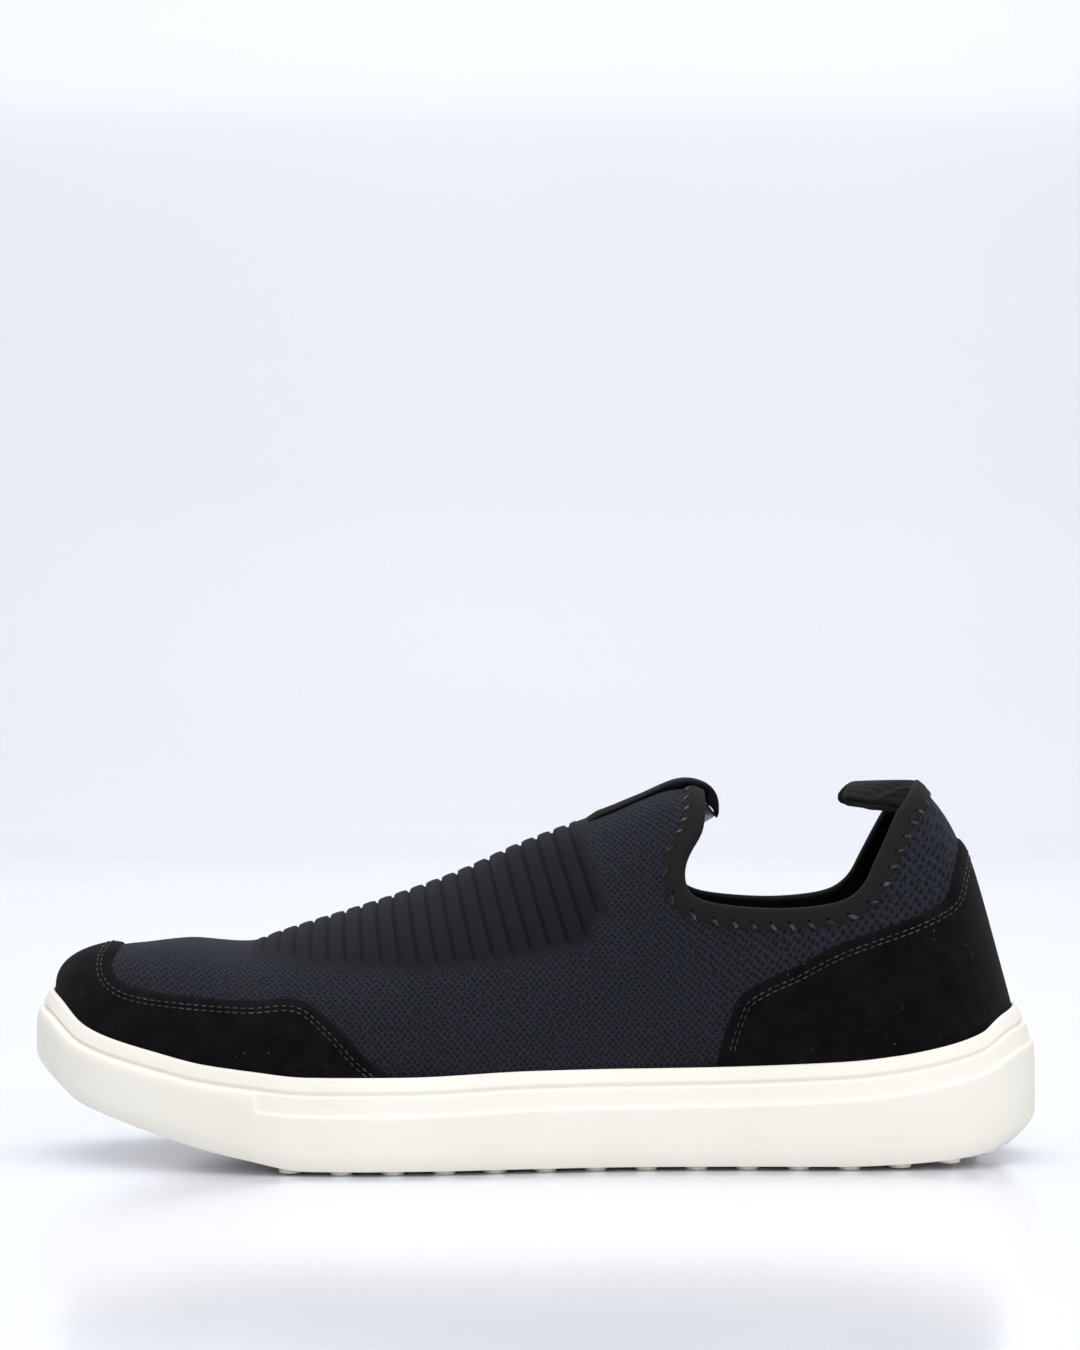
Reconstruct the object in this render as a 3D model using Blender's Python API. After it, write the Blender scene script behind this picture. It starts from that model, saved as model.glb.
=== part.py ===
# A low slip-on sneaker for the left foot, standing empty on its sole.
# The toe points along -X, the outer (lateral) side is -Y, +Z is up, and the origin is on the
# floor under the middle of the shoe. All sizes are in metres.

import bisect
import math

import bmesh
import bpy
from mathutils import Matrix, Vector

# Driving sizes of the whole shoe
shoe_length = 0.298
ball_width = 0.102
heel_width = 0.078
clearance = 0.0003
bed_clearance = 0.0007

# The moulded sole: heights are above its base, and the tread stands below the base
sole_height = 0.0267
toe_rim_lift = 0.0205
heel_rim_lift = 0.0160
toe_spring = 0.0245
heel_bevel = 0.0073
tread_height = 0.0014
tread_diameter = 0.0066
tread_pitch = 0.0147
tread_edge_margin = 0.0026
tread_end = 0.775
stud_root = 0.0006
side_lean = 0.0020
toe_lean = 0.0036
heel_lean = 0.0051
side_tuck = 0.0012
end_tuck = 0.0042
lip_width = 0.0010
edge_round = 0.0030
groove_drop = 0.0047
groove_width = 0.0010
groove_depth = 0.0008
ledge_drop = 0.0108
ledge_step = 0.0007
ledge_ramp = 0.0005
lean_start = 0.55
toe_bumper_length = 0.0690
bumper_ramp = 0.0006
ball_bed_height = 0.0120
heel_bed_height = 0.0200
bed_toe_share = 0.72

# The knitted upper: heights of its outside above the sole's base
knit_wall = 0.0022
toe_box_height = 0.0615
instep_height = 0.1080
collar_low_height = 0.0745
heel_top_rise = 0.0130
heel_slant = 0.49
heel_roundness = 6.8
toe_roundness = 2.50
rib_count = 20
rib_pitch = 0.00478
rib_groove_width = 0.0013
rib_groove_depth = 0.0009
rib_front = 0.2300
rib_foot_height = 0.0585

# What is laid on or into the upper
overlay_thickness = 0.0012
overlay_tuck = 0.0030
insole_thickness = 0.0040
insole_edge = 0.0009
binding_width = 0.0070
binding_thickness = 0.0010
binding_lip = 0.0012
tab_width = 0.0180
tab_thickness = 0.0013
tab_crown = 0.0008
tab_length = 0.0350
tab_ramp_start = 0.0101
tab_ramp_length = 0.0072
tab_nose_reach = 0.0052
tab_nose_drop = 0.0066
tab_tail_drop = 0.0034
tab_tail_return = 0.0010
loop_width = 0.0180
loop_thickness = 0.0013
loop_gap = 0.0008
loop_reach = 0.0152
loop_setback = 0.0017
loop_droop = 0.0040
loop_root_droop = 1.8
loop_lean = 0.90
loop_nod = 0.0010

# How finely curved forms are divided, and how far cutters reach past what they cut.
# bumper_room keeps plain columns off the bumper's end.
side_columns = 28
bumper_room = 0.025
lower_rings = 3
rib_rings = 5
edge_steps = 2
tab_stations = 9
tuck_steps = 12
stud_sides = 6
core_depth = 0.0040
cut_beyond = 0.030
cut_overrun = 0.0015

# Where forms change along the shoe, as shares of its length from the heel
waist_span = (0.30, 0.62)
toe_overlay_span = (0.56, 0.61)
heel_overlay_span = (0.35, 0.40)
toe_fan_span = (0.78, 0.93)
heel_fan_span = (0.07, 0.24)
rib_foot_range = (0.40, 0.86)

# Outline of the sole from the heel to the toe. Widths are shares of the shoe's own width there.
OUTLINE = [
    # from_heel, lateral, medial
    (0.020, 0.262, 0.250),
    (0.050, 0.388, 0.368),
    (0.100, 0.466, 0.444),
    (0.200, 0.500, 0.474),
    (0.300, 0.494, 0.452),
    (0.400, 0.474, 0.412),
    (0.500, 0.466, 0.408),
    (0.600, 0.486, 0.456),
    (0.670, 0.500, 0.490),
    (0.740, 0.485, 0.500),
    (0.820, 0.428, 0.478),
    (0.900, 0.328, 0.402),
    (0.955, 0.222, 0.302),
]
toe_tip_shift = 0.055

# Height of the rim and of the base along the shoe, as shares of the lifts at heel and toe.
SOLE_LINES = [
    # from_heel, rim_heel, rim_toe, base_heel, base_toe
    (0.000, 1.10, 0.00, 1.00, 0.00),
    (0.022, 1.00, 0.00, 0.72, 0.00),
    (0.060, 0.66, 0.00, 0.38, 0.00),
    (0.092, 0.50, 0.00, 0.22, 0.00),
    (0.143, 0.32, 0.00, 0.07, 0.00),
    (0.200, 0.21, 0.00, 0.00, 0.00),
    (0.340, 0.11, 0.00, 0.00, 0.00),
    (0.500, 0.08, 0.00, 0.00, 0.00),
    (0.630, 0.00, 0.00, 0.00, 0.00),
    (0.718, 0.00, 0.00, 0.00, 0.00),
    (0.775, 0.00, 0.07, 0.00, 0.11),
    (0.825, 0.00, 0.15, 0.00, 0.235),
    (0.875, 0.00, 0.30, 0.00, 0.395),
    (0.926, 0.00, 0.48, 0.00, 0.58),
    (0.955, 0.00, 0.64, 0.00, 0.70),
    (0.985, 0.00, 0.96, 0.00, 0.90),
    (1.000, 0.00, 1.06, 0.00, 1.00),
]

# The crest of the last. A meridian that starts at from_heel on the sole ends at crest_at.
CREST = [
    # from_heel, crest_at
    (0.000, 0.164),
    (0.030, 0.170),
    (0.097, 0.208),
    (0.198, 0.295),
    (0.299, 0.389),
    (0.386, 0.467),
    (0.447, 0.515),
    (0.527, 0.578),
    (0.607, 0.642),
    (0.689, 0.708),
    (0.757, 0.772),
    (0.836, 0.829),
    (0.903, 0.859),
    (0.970, 0.873),
    (1.000, 0.876),
]

# The crest's height as a share of the way from toe box to instep, then of the heel's own rise,
# its shift to the medial side as a share of ball_width, and how full the sections are.
SECTIONS = [
    # crest_at, instep_rise, heel_rise, medial_shift
    (0.164, 1.00, 0.80, 0.000),
    (0.195, 1.00, 0.55, 0.000),
    (0.230, 0.96, 0.25, 0.002),
    (0.265, 0.930, 0.00, 0.003),
    (0.300, 0.935, 0.00, 0.004),
    (0.330, 0.980, 0.00, 0.006),
    (0.345, 1.020, 0.00, 0.008),
    (0.364, 1.012, 0.00, 0.012),
    (0.394, 0.948, 0.00, 0.018),
    (0.424, 0.870, 0.00, 0.024),
    (0.454, 0.800, 0.00, 0.030),
    (0.515, 0.650, 0.00, 0.036),
    (0.575, 0.475, 0.00, 0.040),
    (0.635, 0.330, 0.00, 0.042),
    (0.696, 0.202, 0.00, 0.044),
    (0.756, 0.088, 0.00, 0.046),
    (0.790, 0.028, 0.00, 0.048),
    (0.840, 0.030, 0.00, 0.050),
    (0.876, 0.002, 0.00, 0.052),
]
FULLNESS = [
    # from_heel, lateral, medial
    (0.000, 2.60, 2.60),
    (0.060, 2.60, 2.60),
    (0.140, 2.80, 2.75),
    (0.250, 3.00, 2.90),
    (0.360, 2.40, 2.30),
    (0.480, 2.05, 1.95),
    (0.600, 2.05, 2.00),
    (0.720, 2.20, 2.20),
    (0.830, 2.50, 2.50),
    (0.920, 2.70, 2.70),
    (1.000, 2.75, 2.75),
]

# Edges seen from the side. Each table names the two heights that its rises lie between.
collar_front = 0.3300
loop_root_place = 0.1240
loop_root_rise = 1.020
COLLAR_EDGE = [
    # from_heel, rise above the collar's low point, as a share of the way to instep_height
    (collar_front, 2.000),
    (collar_front, 1.200),
    (collar_front, 1.000),
    (collar_front, 0.840),
    (0.3350, 0.660),
    (0.3460, 0.500),
    (0.3525, 0.350),
    (0.3515, 0.200),
    (0.3420, 0.095),
    (0.3130, 0.030),
    (0.2547, 0.000),
    (0.2020, 0.055),
    (0.1785, 0.190),
    (0.1650, 0.420),
    (0.1406, 0.850),
    (loop_root_place, loop_root_rise),
    (0.1120, 1.150),
    (0.1000, 1.400),
    (0.0900, 2.000),
]
TOE_GUARD_EDGE = [
    # from_heel, rise from sole_height to toe_box_height
    (0.9130, 1.300),
    (0.9150, 1.000),
    (0.9190, 0.880),
    (0.9140, 0.780),
    (0.8950, 0.700),
    (0.8550, 0.655),
    (0.7810, 0.618),
    (0.7480, 0.640),
    (0.7270, 0.630),
    (0.7090, 0.550),
    (0.6850, 0.370),
    (0.6640, 0.180),
    (0.6370, 0.000),
    (0.6200, -0.100),
]
COUNTER_EDGE = [
    # from_heel, rise from sole_height to collar_low_height
    (0.3260, -0.100),
    (0.3220, 0.060),
    (0.3170, 0.200),
    (0.3080, 0.360),
    (0.2990, 0.470),
    (0.2770, 0.560),
    (0.2480, 0.640),
    (0.2100, 0.762),
    (0.1700, 0.855),
    (0.1370, 0.925),
    (0.1090, 1.000),
    (0.0950, 1.060),
    (0.0890, 1.170),
    (0.0800, 1.320),
    (0.0690, 1.510),
    (0.0550, 1.535),
]


def smooth_table(rows, column):
    """A smooth curve through one column of a table, with no overshoot between its rows."""
    xs = [row[0] for row in rows]
    ys = [row[column] for row in rows]
    steps = [xs[i + 1] - xs[i] for i in range(len(xs) - 1)]
    slopes = [(ys[i + 1] - ys[i]) / steps[i] for i in range(len(steps))]
    tangents = [slopes[0]]
    for i in range(1, len(slopes)):
        before, after = slopes[i - 1], slopes[i]
        if before * after <= 0.0:
            tangents.append(0.0)
        else:
            tangents.append(2.0 * before * after / (before + after))
    tangents.append(slopes[-1])

    def value(x):
        x = min(max(x, xs[0]), xs[-1])
        i = min(bisect.bisect_right(xs, x) - 1, len(steps) - 1)
        share = (x - xs[i]) / steps[i]
        square, cube = share * share, share ** 3
        return ((2 * cube - 3 * square + 1) * ys[i]
                + (cube - 2 * square + share) * steps[i] * tangents[i]
                + (3 * square - 2 * cube) * ys[i + 1]
                + (cube - square) * steps[i] * tangents[i + 1])

    return value


def ease(x, start, end):
    """Rises smoothly from 0 at start to 1 at end."""
    share = min(max((x - start) / (end - start), 0.0), 1.0)
    return share * share * (3.0 - 2.0 * share)


def mix(a, b, share):
    return a + (b - a) * share


rim_heel = smooth_table(SOLE_LINES, 1)
rim_toe = smooth_table(SOLE_LINES, 2)
base_heel = smooth_table(SOLE_LINES, 3)
base_toe = smooth_table(SOLE_LINES, 4)
crest_at = smooth_table(CREST, 1)
instep_rise = smooth_table(SECTIONS, 1)
heel_rise = smooth_table(SECTIONS, 2)
medial_shift = smooth_table(SECTIONS, 3)
lateral_fullness = smooth_table(FULLNESS, 1)
medial_fullness = smooth_table(FULLNESS, 2)


def place_x(from_heel):
    return shoe_length * (0.5 - from_heel)


def rim_height(from_heel):
    lifts = heel_rim_lift * rim_heel(from_heel) + toe_rim_lift * rim_toe(from_heel)
    return tread_height + sole_height + lifts


def base_height(from_heel):
    return tread_height + heel_bevel * base_heel(from_heel) + toe_spring * base_toe(from_heel)


def bed_height(from_heel):
    """Top of the sole inside the cup: higher under the heel, and rising with the toe."""
    flat = mix(heel_bed_height, ball_bed_height, ease(from_heel, *waist_span))
    return tread_height + flat + bed_toe_share * toe_spring * base_toe(from_heel)


def outline_rows():
    """The outline as y by angle: 0 at the heel, pi at the toe, back to 2 pi at the heel."""
    rows = [(0.0, 0.0)]
    for from_heel, lateral, medial in OUTLINE:
        rows.append((math.acos(1.0 - 2.0 * from_heel), -lateral * width_at(from_heel)))
    rows.append((math.pi, toe_tip_shift * ball_width))
    for from_heel, lateral, medial in reversed(OUTLINE):
        angle = 2.0 * math.pi - math.acos(1.0 - 2.0 * from_heel)
        rows.append((angle, medial * width_at(from_heel)))
    rows.append((2.0 * math.pi, 0.0))
    # one more row at each end gives the closed curve an even slope through the heel
    first = (rows[-2][0] - 2.0 * math.pi, rows[-2][1])
    last = (rows[1][0] + 2.0 * math.pi, rows[1][1])
    return [first] + rows + [last]


def width_at(from_heel):
    return mix(heel_width, ball_width, ease(from_heel, *waist_span))


outline_y = smooth_table(outline_rows(), 1)


def outline_point(angle):
    return Vector((0.5 * shoe_length * math.cos(angle), outline_y(angle), 0.0))


def outline_normal(angle):
    step = 0.01
    along = outline_point((angle + step) % (2.0 * math.pi)) - outline_point(
        (angle - step) % (2.0 * math.pi))
    return Vector((-along.y, along.x, 0.0)).normalized()


def heel_share(angle):
    """Share of the length from the heel, the same on both sides for mirrored angles."""
    return 0.5 - 0.5 * math.cos(angle)


def both_sides(half_angles):
    """All columns round the shoe from those of one side, which include the heel and the toe."""
    return half_angles + [2.0 * math.pi - a for a in reversed(half_angles[1:-1])]


def even_angles(count):
    """Angles of one side at even steps along the outline, closer together at heel and toe."""
    fine = 720
    reach = [0.0]
    for i in range(fine):
        a0, a1 = math.pi * i / fine, math.pi * (i + 1) / fine
        lateral = (outline_point(a1) - outline_point(a0)).length
        medial = (outline_point(2 * math.pi - a1) - outline_point(2 * math.pi - a0)).length
        crowd = 1.0 + 0.9 * abs(math.cos(0.5 * (a0 + a1))) ** 5
        reach.append(reach[-1] + (lateral + medial) * crowd)
    angles = []
    for i in range(count + 1):
        want = reach[-1] * i / count
        j = min(bisect.bisect_right(reach, want) - 1, fine - 1)
        share = (want - reach[j]) / (reach[j + 1] - reach[j])
        angles.append(math.pi * (j + share) / fine)
    angles[0], angles[-1] = 0.0, math.pi
    return angles


def end_mix(angle, side, toe, heel):
    """A size that differs at side, toe and heel, turned by the way the outline faces."""
    facing = outline_normal(angle).x
    if facing < 0.0:
        return mix(side, toe, facing * facing)
    return mix(side, heel, facing * facing)


def cup_inset(angle):
    """How far the inner face of the cup's rim lies inside the outline."""
    return end_mix(angle, side_lean, toe_lean, heel_lean) + lip_width


def overlay_share(from_heel):
    """1 where a suede overlay lies between the knit and the cup, 0 along the middle."""
    toe_part = ease(from_heel, *toe_overlay_span)
    heel_part = 1.0 - ease(from_heel, *heel_overlay_span)
    return max(toe_part, heel_part)


def knit_foot(angle):
    """Where the knit leaves the cup: just inside the rim, and further in under an overlay."""
    room = (overlay_thickness + clearance) * overlay_share(heel_share(angle))
    inset = cup_inset(angle) + clearance + room
    point = outline_point(angle) - outline_normal(angle) * inset
    point.z = rim_height(heel_share(angle))
    return point


def crest_point(from_heel):
    """Top of the last for the meridians that start at from_heel."""
    at = crest_at(from_heel)
    height = toe_box_height + (instep_height - toe_box_height) * instep_rise(at)
    height += heel_top_rise * heel_rise(at)
    return Vector((place_x(at), ball_width * medial_shift(at), tread_height + height))


def fullness(angle):
    from_heel = heel_share(angle)
    lateral, medial = lateral_fullness(from_heel), medial_fullness(from_heel)
    return mix(lateral, medial, 0.5 - 0.5 * math.sin(angle))


def knit_point(angle, turn):
    """A point of the last's surface: turn runs from 0 at the rim to pi / 2 at the crest."""
    foot = knit_foot(angle)
    crest = crest_point(heel_share(angle))
    power = 2.0 / fullness(angle)
    inward = 1.0 - max(math.cos(turn), 0.0) ** power
    upward = max(math.sin(turn), 0.0) ** power
    from_heel = heel_share(angle)
    fan = max(ease(from_heel, *toe_fan_span), 1.0 - ease(from_heel, *heel_fan_span))
    if from_heel > 0.5:
        curl = 1.0 - (1.0 - min(upward, 1.0) ** toe_roundness) ** (1.0 / toe_roundness)
    else:
        curl = heel_slant * upward + (1.0 - heel_slant) * upward ** heel_roundness
    along = mix(upward, curl, fan)
    return Vector((mix(foot.x, crest.x, along), mix(foot.y, crest.y, inward),
                   mix(foot.z, crest.z, upward)))


def foot_turn(angle):
    """The turn at which a meridian reaches the lower ends of the ribs."""
    foot = knit_foot(angle)
    crest = crest_point(heel_share(angle))
    height = tread_height + rib_foot_height
    lowest, highest = rib_foot_range
    share = min(max((height - foot.z) / (crest.z - foot.z), lowest), highest)
    return math.asin(share ** (0.5 * fullness(angle)))


def meridian_turns(angle):
    split = foot_turn(angle)
    turns = [split * i / lower_rings for i in range(lower_rings)]
    turns += [mix(split, 0.5 * math.pi, i / rib_rings) for i in range(rib_rings + 1)]
    return turns


def plain_columns():
    return both_sides(even_angles(side_columns))


def crest_angle(place):
    """The angle whose meridian ends at this share of the length from the heel."""
    low, high = 0.0, math.pi
    for step in range(50):
        middle = 0.5 * (low + high)
        if crest_at(heel_share(middle)) < place:
            low = middle
        else:
            high = middle
    return 0.5 * (low + high)


def ribbed_columns():
    """Columns with three at each rib groove, and which of them lie at a groove's bottom."""
    half, bottoms = [], set()
    for i in range(rib_count):
        place = (rib_front - i * rib_pitch) / shoe_length
        angles = [crest_angle(place + side * 0.5 * rib_groove_width / shoe_length)
                  for side in (-1.0, 0.0, 1.0)]
        bottoms.add(angles[1])
        half += angles
    first, last = min(half), max(half)
    room = 0.25 * (last - first) / rib_count
    half += [a for a in even_angles(side_columns) if a < first - room or a > last + room]
    half.sort()
    columns = both_sides(half)
    dips = [a in bottoms or columns[-i] in bottoms for i, a in enumerate(columns)]
    return columns, dips


def sock_rings(offset, columns, foot_extra=0.0, dips=None):
    """Rings of the upper's form, moved out by offset along its normals, from foot to crest."""
    turns = [meridian_turns(a) for a in columns]
    rings = [[knit_point(a, turns[i][k]) for i, a in enumerate(columns)]
             for k in range(len(turns[0]))]
    count = len(columns)
    normals = [[Vector() for i in range(count)] for ring in rings]
    top = len(rings) - 1

    def twins(k, i):
        """A point of the crest belongs to the two columns that meet there."""
        if k == top:
            return [(k, i), (k, (-i) % count)]
        return [(k, i)]

    for k in range(top):
        for i in range(count):
            j = (i + 1) % count
            across = rings[k + 1][j] - rings[k][i]
            other = rings[k + 1][i] - rings[k][j]
            face = other.cross(across)
            for place in twins(k, i) + twins(k, j) + twins(k + 1, i) + twins(k + 1, j):
                normals[place[0]][place[1]] += face
    moved = []
    for k, ring in enumerate(rings):
        row = []
        for i, point in enumerate(ring):
            normal = normals[k][i].normalized()
            if k == 0:
                normal = Vector((normal.x, normal.y, 0.0)).normalized()
            depth = rib_groove_depth if dips and dips[i] and k > lower_rings else 0.0
            row.append(point + normal * (offset - depth))
        moved.append(row)
    foot = []
    for i, a in enumerate(columns):
        bottom = bed_height(heel_share(a)) + bed_clearance - foot_extra
        foot.append(Vector((moved[0][i].x, moved[0][i].y, bottom)))
    return [foot] + moved


def cap_strips(bm, ring):
    """Closes a ring with strips between the two sides of the shoe."""
    half = len(ring) // 2
    bm.faces.new((ring[0], ring[1], ring[-1]))
    for i in range(1, half - 1):
        bm.faces.new((ring[i], ring[i + 1], ring[-i - 1], ring[-i]))
    bm.faces.new((ring[half - 1], ring[half], ring[half + 1]))


def lofted(name, rings, cap_first=True, cap_last=False):
    """A closed mesh through rings of equal count, one above the other."""
    bm = bmesh.new()
    rows = [[bm.verts.new(point) for point in ring] for ring in rings]
    count = len(rows[0])
    for low, high in zip(rows, rows[1:]):
        for i in range(count):
            j = (i + 1) % count
            bm.faces.new((low[i], low[j], high[j], high[i]))
    if cap_first:
        cap_strips(bm, rows[0])
    if cap_last:
        cap_strips(bm, rows[-1])
    bmesh.ops.remove_doubles(bm, verts=bm.verts, dist=0.000002)
    bmesh.ops.triangulate(bm, faces=bm.faces)
    bmesh.ops.recalc_face_normals(bm, faces=bm.faces)
    return as_object(name, bm)


def as_object(name, bm):
    mesh = bpy.data.meshes.new(name)
    bm.to_mesh(mesh)
    bm.free()
    return bpy.data.objects.new(name, mesh)


def side_edge(rows, low, high):
    """Points (x, z) of an edge drawn from the side, smoothed between its rows."""
    points = [Vector((place_x(a), tread_height + mix(low, high, b))) for a, b in rows]
    fine = []
    for i in range(len(points) - 1):
        p0, p1, p2, p3 = (points[max(i - 1, 0)], points[i], points[i + 1],
                          points[min(i + 2, len(points) - 1)])
        for k in range(edge_steps):
            t = k / edge_steps
            fine.append(0.5 * ((2.0 * p1) + (p2 - p0) * t
                               + (2.0 * p0 - 5.0 * p1 + 4.0 * p2 - p3) * t * t
                               + (3.0 * p1 - p0 - 3.0 * p2 + p3) * t ** 3))
    fine.append(points[-1])
    return fine


def shifted(edge, distance):
    """The edge moved sideways, to its left when looking along it."""
    moved = []
    for i, point in enumerate(edge):
        along = edge[min(i + 1, len(edge) - 1)] - edge[max(i - 1, 0)]
        aside = Vector((-along.y, along.x)).normalized()
        moved.append(point + aside * distance)
    return moved


def side_prism(name, outline):
    """A cutter with a side outline (x, z), wider than the shoe."""
    bm = bmesh.new()
    face = bm.faces.new([bm.verts.new((p.x, -ball_width, p.y)) for p in outline])
    wall = bmesh.ops.extrude_face_region(bm, geom=[face])["geom"]
    verts = [item for item in wall if isinstance(item, bmesh.types.BMVert)]
    bmesh.ops.translate(bm, verts=verts, vec=(0.0, 2.0 * ball_width, 0.0))
    bmesh.ops.triangulate(bm, faces=bm.faces)
    bmesh.ops.recalc_face_normals(bm, faces=bm.faces)
    return as_object(name, bm)


def combine(body, tool, operation):
    """Applies one exact Boolean to the body and puts the tool with the cutters."""
    if tool.name not in cutters.objects:
        cutters.objects.link(tool)
    tool.hide_render = True
    tool.display_type = "WIRE"
    if body.name not in cutters.objects and body.name not in shoe.objects:
        shoe.objects.link(body)
    cut = body.modifiers.new(tool.name, "BOOLEAN")
    cut.operation = operation
    cut.solver = "EXACT"
    cut.object = tool
    return body


def settled(body):
    """Turns an object with modifiers into a plain mesh of the same shape."""
    graph = bpy.context.evaluated_depsgraph_get()
    graph.update()
    mesh = bpy.data.meshes.new_from_object(body.evaluated_get(graph))
    name = body.name
    bm = bmesh.new()
    bm.from_mesh(mesh)
    bmesh.ops.remove_doubles(bm, verts=bm.verts, dist=0.000002)
    bmesh.ops.dissolve_degenerate(bm, edges=bm.edges, dist=0.000002)
    bmesh.ops.triangulate(bm, faces=bm.faces)
    bm.to_mesh(mesh)
    bm.free()
    old = body.data
    bpy.data.objects.remove(body)
    bpy.data.meshes.remove(old)
    mesh.name = name
    return bpy.data.objects.new(name, mesh)


def finished(piece, colour, roughness):
    """Gives a piece its plain material and soft shading, and puts it in the shoe."""
    if piece.name not in shoe.objects:
        shoe.objects.link(piece)
    material = bpy.data.materials.new(piece.name)
    material.use_nodes = True
    shader = material.node_tree.nodes["Principled BSDF"]
    shader.inputs["Base Color"].default_value = (*colour, 1.0)
    shader.inputs["Roughness"].default_value = roughness
    shader.inputs["Metallic"].default_value = 0.0
    piece.data.materials.clear()
    piece.data.materials.append(material)
    piece.data.shade_smooth()
    piece.data.set_sharp_from_angle(angle=math.radians(35.0))
    return piece


# Sole: one moulded cup with a tread of round studs.

def sole_columns():
    """Plain columns, and a close pair on each side at the end of the toe bumper."""
    place = 1.0 - toe_bumper_length / shoe_length
    step = bumper_ramp / shoe_length
    half = even_angles(side_columns)
    marks = [math.acos(1.0 - 2.0 * (place + d)) for d in (-step, step)]
    half = [a for a in half if abs(a - marks[0]) > bumper_room] + marks
    half.sort()
    return both_sides(half)


def sole_ring(columns, inset_of, height_of):
    ring = []
    for a in columns:
        point = outline_point(a) - outline_normal(a) * inset_of(a)
        point.z = height_of(a)
        ring.append(point)
    return ring


def side_inset(angle, height, proud):
    """Inset of the side wall at a height: tucked under at the base, leaning in at the rim."""
    from_heel = heel_share(angle)
    base, rim = base_height(from_heel), rim_height(from_heel)
    lean = end_mix(angle, side_lean, toe_lean, heel_lean)
    tuck = end_mix(angle, side_tuck, end_tuck, end_tuck)
    middle = mix(base, rim, lean_start)
    share = max((height - middle) / (rim - middle), 0.0)
    under = max(1.0 - (height - base) / (2.0 * edge_round), 0.0)
    return lean * share * share + tuck * under * under - ledge_step * proud


def make_sole():
    columns = sole_columns()
    bumper_end = 1.0 - toe_bumper_length / shoe_length
    rows = [
        # from_rim, distance, proud in the middle, proud at the toe bumper, extra inset
        (False, 0.0, 1.0, 1.0, 0.0),
        (False, 0.25 * edge_round, 1.0, 1.0, 0.0),
        (False, edge_round, 1.0, 1.0, 0.0),
        (True, ledge_drop + 0.5 * ledge_ramp, 1.0, 1.0, 0.0),
        (True, ledge_drop - 0.5 * ledge_ramp, 0.0, 1.0, 0.0),
        (True, groove_drop + groove_width, 0.0, 1.0, 0.0),
        (True, groove_drop + 0.5 * groove_width, 0.0, 0.0, groove_depth),
        (True, groove_drop - 0.5 * groove_width, 0.0, 0.0, groove_depth),
        (True, groove_drop - groove_width, 0.0, 0.0, 0.0),
        (True, 0.9 * lip_width, 0.0, 0.0, 0.0),
    ]
    rings = []
    for from_rim, distance, proud_side, proud_toe, extra in rows:
        def height(a):
            if from_rim:
                return rim_height(heel_share(a)) - distance
            return base_height(heel_share(a)) + distance

        def inset(a):
            proud = proud_toe if heel_share(a) > bumper_end else proud_side
            return side_inset(a, height(a), proud) + extra

        rings.append(sole_ring(columns, inset, height))

    def rim(a):
        return rim_height(heel_share(a))

    def bed(a):
        return bed_height(heel_share(a))

    for share in (0.65, 0.25):
        rings.append(sole_ring(columns, lambda a: cup_inset(a) - share * lip_width, rim))
    rings.append(sole_ring(columns, cup_inset, lambda a: rim(a) - 0.4 * lip_width))
    rings.append(sole_ring(columns, cup_inset, bed))
    sole = lofted("sole", rings, cap_first=True, cap_last=True)
    combine(sole, tread_studs(), "UNION")
    return finished(settled(sole), (0.86, 0.85, 0.80), 0.55)


def even_walk(points, step):
    """Spots along a closed line of points, as near to a step apart as comes out even."""
    ends = points[1:] + points[:1]
    total = sum((q - p).length for p, q in zip(points, ends))
    step = total / round(total / step)
    spots, left = [], 0.5 * step
    for p, q in zip(points, ends):
        length = (q - p).length
        while left <= length:
            spots.append(p.lerp(q, left / length))
            left += step
        left -= length
    return spots


def tread_studs():
    """Round studs in a row that follows the edge of the tread, up to where the toe rises."""
    bm = bmesh.new()
    line = []
    for a in both_sides(even_angles(8 * side_columns)):
        inset = tread_edge_margin + 0.5 * tread_diameter + end_mix(a, 0.0, end_tuck, end_tuck)
        line.append(outline_point(a) - outline_normal(a) * inset)
    depth = tread_height + stud_root
    for spot in even_walk(line, tread_pitch):
        if spot.x < place_x(tread_end):
            continue
        spot.z = base_height(0.5 - spot.x / shoe_length) - tread_height + 0.5 * depth
        bmesh.ops.create_cone(
            bm, cap_ends=True, segments=stud_sides, radius1=0.5 * tread_diameter,
            radius2=0.5 * tread_diameter, depth=depth, matrix=Matrix.Translation(spot))
    bmesh.ops.triangulate(bm, faces=bm.faces)
    bmesh.ops.recalc_face_normals(bm, faces=bm.faces)
    return as_object("tread_studs", bm)


# Insole: a soft footbed board inside the knit, on the sole's bed.

def make_insole():
    columns = plain_columns()
    inner = sock_rings(-(knit_wall + clearance), columns)[0]
    rings = []
    for lift, inset in ((0.0, 0.5 * insole_edge), (insole_edge, 0.0),
                        (insole_thickness - insole_edge, 0.0), (insole_thickness, insole_edge)):
        ring = []
        for i, a in enumerate(columns):
            point = inner[i] - outline_normal(a) * inset
            point.z = bed_height(heel_share(a)) + clearance + lift
            ring.append(point)
        rings.append(ring)
    insole = lofted("insole", rings, cap_first=True, cap_last=True)
    return finished(insole, (0.03, 0.03, 0.035), 0.9)


# Upper: one knitted sock with ribs over the instep, open at the collar and underneath.

def collar_cutter(name, distance):
    edge = shifted(side_edge(COLLAR_EDGE, collar_low_height, instep_height), -distance)
    return side_prism(name, edge)


def make_upper():
    columns, dips = ribbed_columns()
    upper = lofted("upper", sock_rings(0.0, columns, dips=dips))
    hollow = lofted("upper_hollow", sock_rings(-knit_wall, plain_columns(), foot_extra=core_depth))
    combine(upper, hollow, "DIFFERENCE")
    combine(upper, collar_cutter("upper_collar", binding_lip), "DIFFERENCE")
    return finished(settled(upper), (0.016, 0.018, 0.026), 0.9)


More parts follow.
